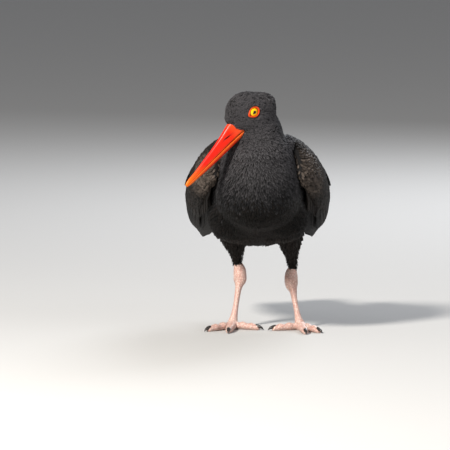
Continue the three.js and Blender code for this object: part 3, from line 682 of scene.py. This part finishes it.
def lay_vane(heap, chart, root, tip, width, lift, tilt, shade, stations=14, point=0.2, dig=2.0,
             curl=0.0, turned=False, worn=0.0):
    """One flight or covert feather on a chart, with a raised shaft and a thin closed vane."""
    root = np.asarray(root, float)
    run = np.asarray(tip, float) - root
    length = np.hypot(*run)
    side = np.array([-run[1], run[0]]) / length
    s = 1 - (1 - np.linspace(0, 1, stations)) ** 1.25
    taper = np.clip((s - (1 - point)) / point, 0, 1)
    half = width / 2 * np.clip((s / 0.14) ** 0.6, 0.3, 1) * np.sqrt(np.maximum(1 - taper**2.4, 0.012))
    middle = root + s[:, None] * run
    nick = 1 + rng.normal(0, 0.02, stations) - 0.1 * (rng.random(stations) < 0.08)
    height = lift - dig * np.clip(1 - s / 0.25, 0, 1) ** 2 + curl * s**2
    ring = len(ACROSS) + len(UNDER)
    verts = np.empty((stations, ring, 3))
    tone = np.empty((stations, ring))
    barb = np.zeros((stations, ring, 3))
    patch = np.empty((stations, ring, 2))
    row, column = divmod(heap.cells, MAP_CELLS)
    for j, c in enumerate([*ACROSS, *UNDER]):
        face = 0.5 if j < len(ACROSS) else -0.5
        edge = abs(c) > 0.9
        spread = half * c * (nick if edge else 1)
        ridge = 0.3 if c == 0 and face > 0 else 0
        camber = -0.35 * c * c
        at = middle + side * spread[:, None]
        up = height + tilt * half * c + 0.32 * face * (0.4 if edge else 1) + ridge + camber
        verts[:, j] = chart(at[:, 0], at[:, 1], up)
        tone[:, j] = shade * (0.7 + 0.5 * s) + (0.1 if edge else 0) * (0.4 + worn) + worn * 0.25 * s
        barb[:, j, 0] = s * length + abs(c) * width * 0.5
        barb[:, j, 1] = c * width / 2
        patch[:, j, 0] = (column + 0.5 + 0.42 * c) / MAP_CELLS
        patch[:, j, 1] = (row + 0.05 + 0.9 * s) / MAP_CELLS
    faces = vane_faces(ring, stations, VANE_CAPS)
    if turned:
        faces = faces[:, ::-1]
    heap.verts.append(verts.reshape(-1, 3))
    heap.faces.append(faces + heap.count)
    heap.tone.append(tone.ravel())
    heap.barb.append(barb.reshape(-1, 3))
    heap.patch.append(patch.reshape(-1, 2))
    heap.count += stations * ring
    heap.cells += 1


def lay_row(heap, chart, count, first, last, shade, vary, **more):
    """A row of feathers: the first and last are given, and the rest are spread between them."""
    for i in range(count):
        t = i / (count - 1)
        here = np.array(first, float) * (1 - t) + np.array(last, float) * t
        width, lift, tilt = here[4:]
        jitter = rng.normal(0, 0.5, 2) * [1.2, 0.5]
        lay_vane(heap, chart, here[:2], here[2:4] + jitter, width, lift, tilt, tinted(shade, vary), **more)


def finish_quills(heap, name, material, mirror=False):
    verts = np.concatenate(heap.verts)
    faces = np.concatenate(heap.faces)
    if mirror:
        verts = verts * np.array([-1, 1, 1])
        faces = faces[:, ::-1]
    return quills(
        name, placed(verts), faces, material, np.concatenate(heap.tone), np.concatenate(heap.barb),
        np.concatenate(heap.patch),
    )


def covert_length(points):
    """Small coverts grow from the wrist back, and the shoulder's feathers are longer still."""
    back = points[:, 1]
    above = smooth_step(points[:, 2] - follow(WING, 2, back), 4, 16)
    return 5 + 4.0 * smooth_step(back, -18, 26) + above * 5.0 * smooth_step(back, 0, 60)


def covert_gap(points):
    return covert_length(points) * COVERT_GAP


def covert_wanted(middle, outward):
    """Only the outer face, ahead of the larger coverts or over the shoulder, clear of the arm's edges."""
    back = middle[:, 1]
    from_axis = middle - np.stack([0 * back, back, 150 - 0.25 * back], axis=1)
    above = middle[:, 2] - follow(WING, 2, back)
    folded = middle * [np.sign(middle[0, 0]), 1, 1]
    near = [np.linalg.norm(under_wing - spot, axis=1).argmin() for spot in folded]
    share = wing_up.ravel()[near]
    frontal = outward[:, 1] < -0.5 * np.linalg.norm(outward, axis=1)
    outer = ((np.sum(from_axis * outward, axis=1) > 0) | frontal) & (share < 0.92) & (back > -23)
    return outer & ((back < 44) | (above > 4))


def ball_form(around, rings, spot_at):
    """A closed round form: a ball whose corners go where their way along and their turn send them."""
    form = bmesh.new()
    made = bmesh.ops.create_uvsphere(form, u_segments=around, v_segments=rings, radius=1)["verts"]
    ball = np.array([v.co for v in made])
    t = np.arccos(np.clip(ball[:, 2], -1, 1)) / math.pi
    for v, spot in zip(made, placed(spot_at(t, np.arctan2(ball[:, 1], ball[:, 0])))):
        v.co = spot
    bmesh.ops.recalc_face_normals(form, faces=form.faces)
    if form.calc_volume(signed=True) < 0:
        bmesh.ops.reverse_faces(form, faces=form.faces)
    return form


for name, side in (("left", 1), ("right", -1)):
    for kind, rows in WING_ROWS.items():
        heap = Quills()
        for count, first, last, more in rows:
            lay_row(heap, on_wing, count, first, last, **more)
        finish_quills(heap, f"{kind}_{name}", wing_plumage, mirror=side < 0)

    def arm_spot(t, turn, side=side):
        back = -23 + 132 * t
        low = follow(ARM, 1, back)
        high = follow(ARM, 2, back)
        pinch = np.sqrt(np.maximum(1 - np.abs(2 * t - 1) ** 14, 0))
        up = (low + high) / 2 + (high - low) / 2 * np.cos(turn) * pinch
        thick = np.where(np.sin(turn) > 0, follow(ARM, 3, back), -follow(ARM, 4, back)) * 0.92
        lift = thick * np.abs(np.sin(turn)) ** 0.4 * pinch
        return on_wing(back, up, lift) * np.array([side, 1, 1])

    wing_arm = new_piece(f"wing_arm_{name}", ball_form(48, 48, arm_spot))
    wing_arm.data.materials.append(under_down)
    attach(wing_arm, "root")
    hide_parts(f"wing_{name}")
    arm_tree = BVHTree.FromObject(wing_arm, bpy.context.evaluated_depsgraph_get())
    points = scatter(wing_arm, TRIES // 12, covert_gap, 41, covert_wanted)
    long = covert_length(points)
    facing = nearest(arm_tree, placed(points))[1]
    frontal = smooth_step(-facing[:, 1], 0.45, 0.95)[:, None]
    flow = np.array([0, 1.0, -0.22]) * (1 - frontal) + np.array([0.5 * side, 0.3, -0.8]) * frontal
    wrist = smooth_step(points[:, 1], 20, -4) * smooth_step(points[:, 2], 188, 174)
    wrist = wrist * smooth_step(points[:, 2], 138, 150)
    worn = np.random.default_rng(8).uniform(0.1, 1.1, len(points))
    uv = np.stack([0.15 + 0.005 * points[:, 1], 0.005 * points[:, 2]], axis=1)
    small_coverts = coat_piece(
        f"small_coverts_{name}", arm_tree, points, unit(flow), long, long * 0.55, uv, FULL, wing_plumage,
        -0.5, 1.0, 0.05 + 0.62 * wrist * worn, 0.04, 0.2, 61, blunt=0.45, edge=0.12,
    )

# Tail
# Twelve tail feathers lie closed in a shallow roof, the middle pair on top, with shorter coverts
# over and under their roots.
TAIL_ROOT = 122
TAIL_HEIGHT = 128
TAIL_SLOPE = math.radians(15)
TAIL_LONG = 104
TAIL_STEP = 0.95


def on_tail(back, out, lift):
    """A point of the tail: back along it, out from its middle, and up from its surface."""
    back, out, lift = np.broadcast_arrays(back, out, lift)
    sag = 0.28 * np.abs(out) + 0.004 * out * out
    rearward = TAIL_ROOT + back * math.cos(TAIL_SLOPE) + lift * math.sin(TAIL_SLOPE)
    height = TAIL_HEIGHT - back * math.sin(TAIL_SLOPE) + lift * math.cos(TAIL_SLOPE) - sag
    return np.stack([out, rearward, height], axis=-1)


def tail_layer(i, flank):
    """How far down the pile a feather lies, with the middle one of the left side on top."""
    return 0 if i == 0 and flank > 0 else i + 1


tail_heap = Quills()
for flank in (1, -1):
    for i in range(6):
        lay_vane(
            tail_heap, on_tail, [10, flank * (4 + 1.3 * i)], [TAIL_LONG - 1.4 * i, flank * (7 + 3.9 * i)],
            15.5, -TAIL_STEP * tail_layer(i, flank), 0, tinted(0.16, 0.07), stations=20, point=0.12, dig=0,
            turned=True,
        )
    for tier in range(3):
        for i in range(4):
            layer = tail_layer(i, flank)
            root_out = flank * (3 + 4 * i)
            tip_out = flank * (5.5 + 4.6 * i)
            lay_vane(
                tail_heap, on_tail, [-6 - 4 * tier, root_out], [54 - 13 * tier - 3.5 * i, tip_out], 12,
                3.0 + 1.3 * tier - 0.8 * layer, 0, tinted(0.25, 0.1), stations=11, point=0.35, turned=True,
            )
            lay_vane(
                tail_heap, on_tail, [-4 * tier, root_out], [60 - 15 * tier - 4 * i, tip_out], 13,
                -9.0 - 1.4 * tier + 0.7 * layer, 0, tinted(0.22, 0.1), stations=11, point=0.35, dig=-2,
                turned=True,
            )
tail_feathers = finish_quills(tail_heap, "tail_feathers", wing_plumage)
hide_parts("tail")

# Bill
# Two horny halves meet along the mouth line. They are red, deeper at the base and orange at the tip
# and cutting edges, with a long nostril slit low in a groove on each side, painted dark as painted shade.
BILL_START = 12
BILL_LONG = 86.6
NOSTRIL = 35
SLIT_HALF = (4.3, 0.65)


def grown_along(name, around, rings, shape):
    """A closed round piece whose rings take a shape from its root to its tip."""
    def spot_at(t, turn):
        open_ring = (t >= 0.3 / rings) & (t <= 1 - 0.3 / rings)
        return shape(np.clip((t - 1 / rings) / (1 - 2 / rings), 0, 1), turn, open_ring)

    piece = new_piece(name, ball_form(around, rings, spot_at))
    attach(piece, "root")
    return piece


def bill_half(name, column, sign):
    """The upper or the lower half, flat along the mouth line and round on the other side."""
    def shape(s, turn, open_ring):
        ahead = BILL_START + BILL_LONG * s
        flat = follow(BILL, 2, ahead) + sign * np.interp(ahead, [12, 60, 98], [0.3, 0.2, 0.08])
        outer = follow(BILL, column, ahead)
        cos = np.sign(np.cos(turn)) * np.abs(np.cos(turn)) ** 0.8
        sin = np.sin(turn)
        height = np.where(sin > 0, flat + (outer - flat) * np.abs(sin) ** 0.9, flat + sign * 0.25 * -sin)
        left = follow(BILL, 4, ahead) * cos
        if sign > 0:
            groove = np.exp(-((height + 5.2 - 0.05 * (ahead - 36)) ** 2) / 1.6)
            groove = groove * np.clip((ahead - 24) / 6, 0, 1) * np.clip((58 - ahead) / 14, 0, 1)
            slit = np.exp(-((height + 4.1 - 0.08 * (ahead - NOSTRIL)) ** 2) / 0.2)
            slit = slit * np.clip(1 - ((ahead - NOSTRIL) / 4.4) ** 4, 0, 1)
            left = left * (1 - np.where(sin > 0, 0.12 * groove + 0.3 * slit, 0))
        return in_head(ahead, np.where(open_ring, left, 0), np.where(open_ring, height, (flat + outer) / 2))

    return grown_along(name, 72, 110, shape)


def head_axis(paint, axis, origin):
    """A value that grows in millimetres along one direction of the head."""
    moved = paint.add("VectorMath", {0: paint.place(), 1: tuple(placed(origin))}, operation="SUBTRACT")
    dot = paint.add(
        "VectorMath", {0: moved.outputs["Vector"], 1: tuple(axis * 1000)}, operation="DOT_PRODUCT"
    )
    return dot.outputs["Value"]


def off_line(paint, origin, across=AHEAD, upward=UP):
    """How far a place is from a line that runs through the head from side to side."""
    flat = {"X": head_axis(paint, across, origin), "Y": head_axis(paint, upward, origin)}
    flat_place = paint.add("CombineXYZ", flat).outputs["Vector"]
    return paint.add("VectorMath", {0: flat_place}, operation="LENGTH").outputs["Value"]


horn = Paint("horny_red")
base = horn.ramp(head_axis(horn, AHEAD, HEAD_MIDDLE), 14, 99, [
    (0, (0.74, 0.10, 0.02)),
    (0.2, (0.60, 0.016, 0.004)),
    (0.66, (0.62, 0.012, 0.006)),
    (0.88, (0.72, 0.09, 0.006)),
    (1, (0.72, 0.17, 0.006)),
])
streak = horn.add("TexNoise", {"Vector": horn.place(), "Scale": 160, "Detail": 4}).outputs["Fac"]
from_mouth = head_axis(horn, UP + 0.0266 * AHEAD, in_head(BILL_START, 0, -9.9))
uneven = horn.add("Math", {0: streak, 1: 1.6, 2: from_mouth}, operation="MULTIPLY_ADD").outputs["Value"]
lips = horn.ramp(uneven, -2.4, 4.0, [
    (0, (0, 0, 0)),
    (0.40, (0.8, 0.8, 0.8)),
    (0.55, (0.8, 0.8, 0.8)),
    (0.70, (0.05, 0.05, 0.05)),
    (1, (0, 0, 0)),
])
orange_lipped = horn.mix(base, (0.78, 0.13, 0.008), lips)
# The nostril slit is painted near black: painted shade inside the opening.
from_slit = off_line(
    horn, in_head(NOSTRIL, 0, -4.1), AHEAD / SLIT_HALF[0], (UP - 0.08 * AHEAD) / SLIT_HALF[1]
)
slit_painted_shade = horn.ramp(from_slit, 0.5, 1.3, [(0, (0.03, 0.01, 0.01)), (1, (1, 1, 1))])
horny_red = horn.finish(horn.mix(orange_lipped, slit_painted_shade, how="MULTIPLY"), 0.3, 0.22, {
    "Normal": horn.bump(streak, 0.2, 0.0003),
    "Subsurface Weight": 0.08,
    "Subsurface Radius": (0.003, 0.0006, 0.0003),
    "Subsurface Scale": 1,
})
bill_upper = bill_half("upper_bill", 1, 1)
bill_lower = bill_half("lower_bill", 3, -1)
for piece, node in ((bill_upper, "bill_upper"), (bill_lower, "bill_lower")):
    piece.data.materials.append(horny_red)
    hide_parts(node)

# Eyes
# Each eye is a glossy yellow ball with a small dark pupil and a dark fleck low in front of it, set in
# a raised, wrinkled ring of bare orange-red lid, with painted shade at its front corner.
EYE_RADIUS = 6.0
EYE_OUT = 10.25
LID_OUT = 15.1
LID_HOLE = 4.2
LID_HALF = (6.3, 4.95)

ball_paint = Paint("iris")
iris = ball_paint.ramp(off_line(ball_paint, HEAD_MIDDLE), 0, 5.6, [
    (0, (0.002, 0.002, 0.002)),
    (0.25, (0.002, 0.002, 0.002)),
    (0.28, (0.55, 0.22, 0.002)),
    (0.36, (0.86, 0.46, 0.002)),
    (0.66, (0.90, 0.55, 0.003)),
    (0.80, (0.80, 0.28, 0.002)),
    (0.90, (0.02, 0.01, 0.005)),
    (1, (0.01, 0.006, 0.003)),
])
from_fleck = off_line(ball_paint, in_head(1.5, 0, -0.3))
fleck = ball_paint.ramp(from_fleck, 0.7, 1.2, [(0, (0.01, 0.01, 0.01)), (1, (1, 1, 1))])
iris_paint = ball_paint.finish(
    ball_paint.mix(iris, fleck, how="MULTIPLY"), 0.4, 0.1, {"Coat Weight": 0.5, "Coat Roughness": 0.02}
)

lid_paint = Paint("bare_lid")
pimples = lid_paint.add("TexVoronoi", {"Vector": lid_paint.place(), "Scale": 1300}).outputs["Distance"]
lid_colour = lid_paint.ramp(pimples, 0, 0.8, [(0, (0.72, 0.10, 0.003)), (1, (0.50, 0.03, 0.002))])
# Painted shade darkens the lid at its front corner.
from_corner = off_line(lid_paint, in_head(5.0, 0, 0.8))
corner_painted_shade = lid_paint.ramp(from_corner, 0.5, 1.3, [(0, (0.05, 0.04, 0.04)), (1, (1, 1, 1))])
bare_lid = lid_paint.finish(
    lid_paint.mix(lid_colour, corner_painted_shade, how="MULTIPLY"), 0.42, 0.25,
    {"Normal": lid_paint.bump(pimples, 0.5, invert=True)},
)

for name, side in (("left", 1), ("right", -1)):
    def eyeball(s, turn, open_ring, side=side):
        roll = math.pi * s
        radius = EYE_RADIUS * np.where(open_ring, np.sin(roll * 0.98 + 0.01), 0)
        out = side * (EYE_OUT + EYE_RADIUS * np.cos(roll))
        return in_head(radius * np.cos(turn), out, radius * np.sin(turn))

    eye = grown_along(f"eyeball_{name}", 64, 40, eyeball)
    eye.data.materials.append(iris_paint)
    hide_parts(f"eye_{name}")

    ring_form = bmesh.new()
    made = bmesh.ops.create_grid(ring_form, x_segments=96, y_segments=14, size=1)["verts"]
    for v in made:
        turn = math.pi * v.co.x
        roll = math.pi * v.co.y
        wrinkle = 1 + 0.035 * math.sin(turn * 21) + 0.03 * math.sin(turn * 34 + roll * 2)
        front = math.exp(-((turn - 0.15) ** 2) / 0.1)
        inner = LID_HOLE + 0.6 * front
        outer = 1 / math.hypot(math.cos(turn) / LID_HALF[0], math.sin(turn) / LID_HALF[1]) + 1.0 * front
        reach = (outer + inner) / 2 + (outer - inner) / 2 * wrinkle * math.cos(roll)
        ahead = reach * math.cos(turn)
        up = reach * math.sin(turn)
        rise = 0.75 * wrinkle * math.sin(roll) - ahead * 0.075 - up * 0.07 - 0.03 * max(reach - 5, 0) ** 2
        v.co = placed(in_head(ahead, side * (LID_OUT + rise), up))
    bmesh.ops.remove_doubles(ring_form, verts=ring_form.verts, dist=0.00001)
    bmesh.ops.recalc_face_normals(ring_form, faces=ring_form.faces)
    lid = new_piece(f"lid_{name}", ring_form)
    lid.data.materials.append(bare_lid)
    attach(lid, "root")
    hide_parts(f"eye_ring_{name}")

# Legs and feet
# Pale pink bare legs with a knobby ankle, covered with small net-like scales, and three short toes
# with cross scales on top, each ending in a blunt near-black claw. A row of a shank gives a place on
# its middle line, its half width and its half depth. A toe has its heading in degrees and its length.
LEGS = {
    "right": {
        "shank": [
            [-20.4, 74.2, 64.5, 4.0, 4.8],
            [-18.4, 74.5, 58.5, 6.0, 6.4],
            [-17.8, 74, 52, 6.5, 7.2],
            [-18.0, 73, 47, 6.3, 6.4],
            [-19.0, 71, 42, 3.9, 4.8],
            [-20.2, 68, 35, 3.0, 3.9],
            [-22.2, 63.5, 22, 2.8, 3.6],
            [-24, 59.5, 12, 3.7, 4.2],
            [-25, 57.5, 7.0, 5.0, 5],
            [-25.2, 56.5, 4.5, 4.6, 4.6],
        ],
        "pad": (-25.2, 56),
        "toes": [("inner", 66, 28), ("middle", -6, 41), ("outer", -44, 35)],
    },
    "left": {
        "shank": [
            [35.4, 70.2, 60.5, 4, 4.7],
            [33.9, 71, 54.5, 6.1, 6.5],
            [33.7, 70.5, 48, 6.7, 7.3],
            [34.3, 69.2, 42.5, 6.1, 6.3],
            [35.8, 66.5, 37, 3.8, 4.7],
            [37, 62, 29.5, 2.9, 3.8],
            [39.4, 55.5, 17.5, 2.8, 3.6],
            [41, 50.5, 10, 3.9, 4.3],
            [42.2, 48.5, 6.5, 5.0, 5],
            [42.6, 47.5, 4.2, 4.6, 4.6],
        ],
        "pad": (42.6, 47),
        "toes": [("inner", -74, 28), ("middle", 7, 41), ("outer", 32, 35)],
    },
}
HEEL = (6.6, 6.4, 5.2)
HEEL_HEIGHT = 3.6
TOE_START = 1.12
TOE_HALF_WIDTH = 4.3
TOE_HALF_HEIGHT = 3.7
SCUTE = 2.2
CLAW_THICK = 2.1
CLAW_REACH = 8.5


def scaly(name, deep, pale, scale):
    """Bare skin of the leg, paler on each small scale and darker in the net between them."""
    paint = Paint(name)
    stretched = paint.add("Mapping", {"Vector": paint.place(), "Scale": (1, 1, 0.75)}).outputs["Vector"]
    net = paint.add("TexVoronoi", {"Vector": stretched, "Scale": scale}, feature="DISTANCE_TO_EDGE")
    edge = net.outputs["Distance"]
    blotch = paint.add("TexNoise", {"Vector": paint.place(), "Scale": 130}).outputs["Fac"]
    colour = paint.ramp(edge, 0, 0.25, [(0, deep), (1, pale)])
    tint = paint.ramp(blotch, 0.3, 0.7, [(0, (0.92, 0.80, 0.78)), (1, (1, 1, 1))])
    return paint.finish(paint.mix(colour, tint, how="MULTIPLY"), 0.5, 0.5, {
        "Normal": paint.bump(edge, 0.5, 0.0003),
        "Subsurface Weight": 0.15,
        "Subsurface Radius": (0.003, 0.001, 0.0007),
        "Subsurface Scale": 1,
    })


leg_skin = scaly("leg_skin", (0.42, 0.25, 0.21), (0.68, 0.52, 0.45), 560)
claw_horn = grainy("claw_horn", (0.010, 0.009, 0.008), (0.045, 0.036, 0.032), 500, 0.35, 0.5)

for name, leg in LEGS.items():
    rows = [[i, *row] for i, row in enumerate(leg["shank"])]

    def middle_at(at, rows=rows):
        at = np.clip(at, 0, len(rows) - 1)
        return np.stack([follow(rows, k, at) for k in (1, 2, 3)], axis=-1)

    def shank_shape(s, turn, open_ring, rows=rows, middle_at=middle_at):
        at = s * (len(rows) - 1)
        tangent = unit(middle_at(at + 0.05) - middle_at(at - 0.05))
        across = unit(np.array([1.0, 0, 0]) - tangent * tangent[:, :1])
        deep = np.cross(tangent, across)
        wide = follow(rows, 4, at) * open_ring * np.cos(turn)
        thick = follow(rows, 5, at) * open_ring * np.sin(turn)
        return middle_at(at) + across * wide[:, None] + deep * thick[:, None]

    shank = grown_along(f"leg_{name}", 40, 90, shank_shape)
    pad_form = bmesh.new()
    pad_form.from_mesh(shank.data)
    for v in add_ellipsoid(pad_form, [*leg["pad"], HEEL_HEIGHT], Matrix.Identity(4), HEEL, around=40):
        v.co.z = max(v.co.z, SHIFT[2])
    for face in pad_form.faces:
        face.smooth = True
    pad_form.to_mesh(shank.data)
    pad_form.free()
    shank.data.materials.append(leg_skin)
    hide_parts(f"shank_{name}")
    for digit, degrees, toe_long in leg["toes"]:
        heading = math.radians(degrees)
        forward = np.array([math.sin(heading), -math.cos(heading), 0])
        across = np.array([math.cos(heading), math.sin(heading), 0])
        foot = np.array([*leg["pad"], 0.0])

        def resting(reach, height, wide, floor_gap):
            """Places at a reach along the toe, a height and a width, none of them below the floor."""
            place = foot + reach[:, None] * forward + across * wide[:, None]
            place[:, 2] = np.maximum(height, floor_gap)
            return place

        def toe_shape(s, turn, open_ring):
            swell = 1 + 0.09 * np.cos(6 * math.pi * (s - 0.04))
            end = np.sqrt(np.maximum(0.04, 1 - np.maximum(0, (s - 0.86) / 0.15) ** 2))
            scute = 1 + 0.03 * np.abs(np.sin(s * math.pi * toe_long / SCUTE)) * (np.sin(turn) > 0)
            wide = TOE_HALF_WIDTH * (1.04 - 0.22 * s) * swell * end * open_ring
            tall = TOE_HALF_HEIGHT * (1.04 - 0.2 * s) * swell * end
            height = 0.86 * tall + 0.9 * (1 - s) + tall * open_ring * scute * np.sin(turn)
            return resting(TOE_START + s * toe_long, height, wide * np.cos(turn), 0)

        def claw_shape(s, turn, open_ring):
            thick = CLAW_THICK * (1 - 0.82 * s**1.6) * open_ring
            reach = TOE_START + toe_long - 3.4 + CLAW_REACH * np.sin(s * 1.25)
            return resting(reach, 3.9 - 3.1 * s * s + thick * np.sin(turn), thick * np.cos(turn), 0.05)

        toe = grown_along(f"digit_{digit}_{name}", 32, 64, toe_shape)
        toe.data.materials.append(leg_skin)
        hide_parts(f"toe_{digit}_{name}")
        nail = grown_along(f"nail_{digit}_{name}", 24, 20, claw_shape)
        nail.data.materials.append(claw_horn)
        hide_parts(f"claw_{digit}_{name}")

# Floor, light and camera
# The bird stands on a plain pale floor. A soft key light comes from the front and above the bird's
# right, a weak fill from its left and a cool light from behind. The camera is low, in front of it.
CAMERA_AWAY = 8.0
CAMERA_RISE = math.radians(5.5)
floor_form = bmesh.new()
bmesh.ops.create_circle(floor_form, cap_ends=True, segments=96, radius=14)
floor = new_piece("floor", floor_form)
pale = bpy.data.materials.new("pale_floor")
pale.use_nodes = True
pale.node_tree.nodes["Principled BSDF"].inputs["Base Color"].default_value = (0.5, 0.495, 0.485, 1)
pale.node_tree.nodes["Principled BSDF"].inputs["Roughness"].default_value = 0.9
floor.data.materials.append(pale)

world = bpy.data.worlds.new("studio")
world.use_nodes = True
world.node_tree.nodes["Background"].inputs["Color"].default_value = (0.93, 0.95, 1.0, 1)
world.node_tree.nodes["Background"].inputs["Strength"].default_value = 0.26
bpy.context.scene.world = world
bpy.context.scene.view_settings.view_transform = "Standard"


def aimed(name, data, spot, aim):
    """A light or a camera at a spot, turned to look at its aim."""
    holder = bpy.data.objects.new(name, data)
    bpy.context.scene.collection.objects.link(holder)
    holder.location = tuple(spot)
    holder.rotation_euler = (Vector(aim) - Vector(spot)).to_track_quat("-Z", "Y").to_euler()
    return holder


def lamp(name, spot, size, power, colour):
    """A round soft lamp that shines on the breast."""
    light = bpy.data.lights.new(name, "AREA")
    light.shape = "DISK"
    light.size = size
    light.energy = power
    light.color = colour
    aimed(name, light, spot, placed([0, 20, 130]))


lamp("key", (-1.1, -1.6, 1.55), 0.4, 97, (1.0, 0.96, 0.90))
lamp("fill", (1.6, -1.0, 0.8), 1.2, 9, (0.92, 0.95, 1.0))
lamp("rim", (0.6, 1.6, 1.2), 0.9, 25, (0.92, 0.95, 1.0))

target = placed([-33, 10, 109.5])
eye_place = target + CAMERA_AWAY * np.array([0, -math.cos(CAMERA_RISE), math.sin(CAMERA_RISE)])
camera_data = bpy.data.cameras.new("camera")
camera_data.lens = 640
camera_data.sensor_width = 36
camera_data.clip_end = 100
bpy.context.scene.camera = aimed("camera", camera_data, eye_place, target)
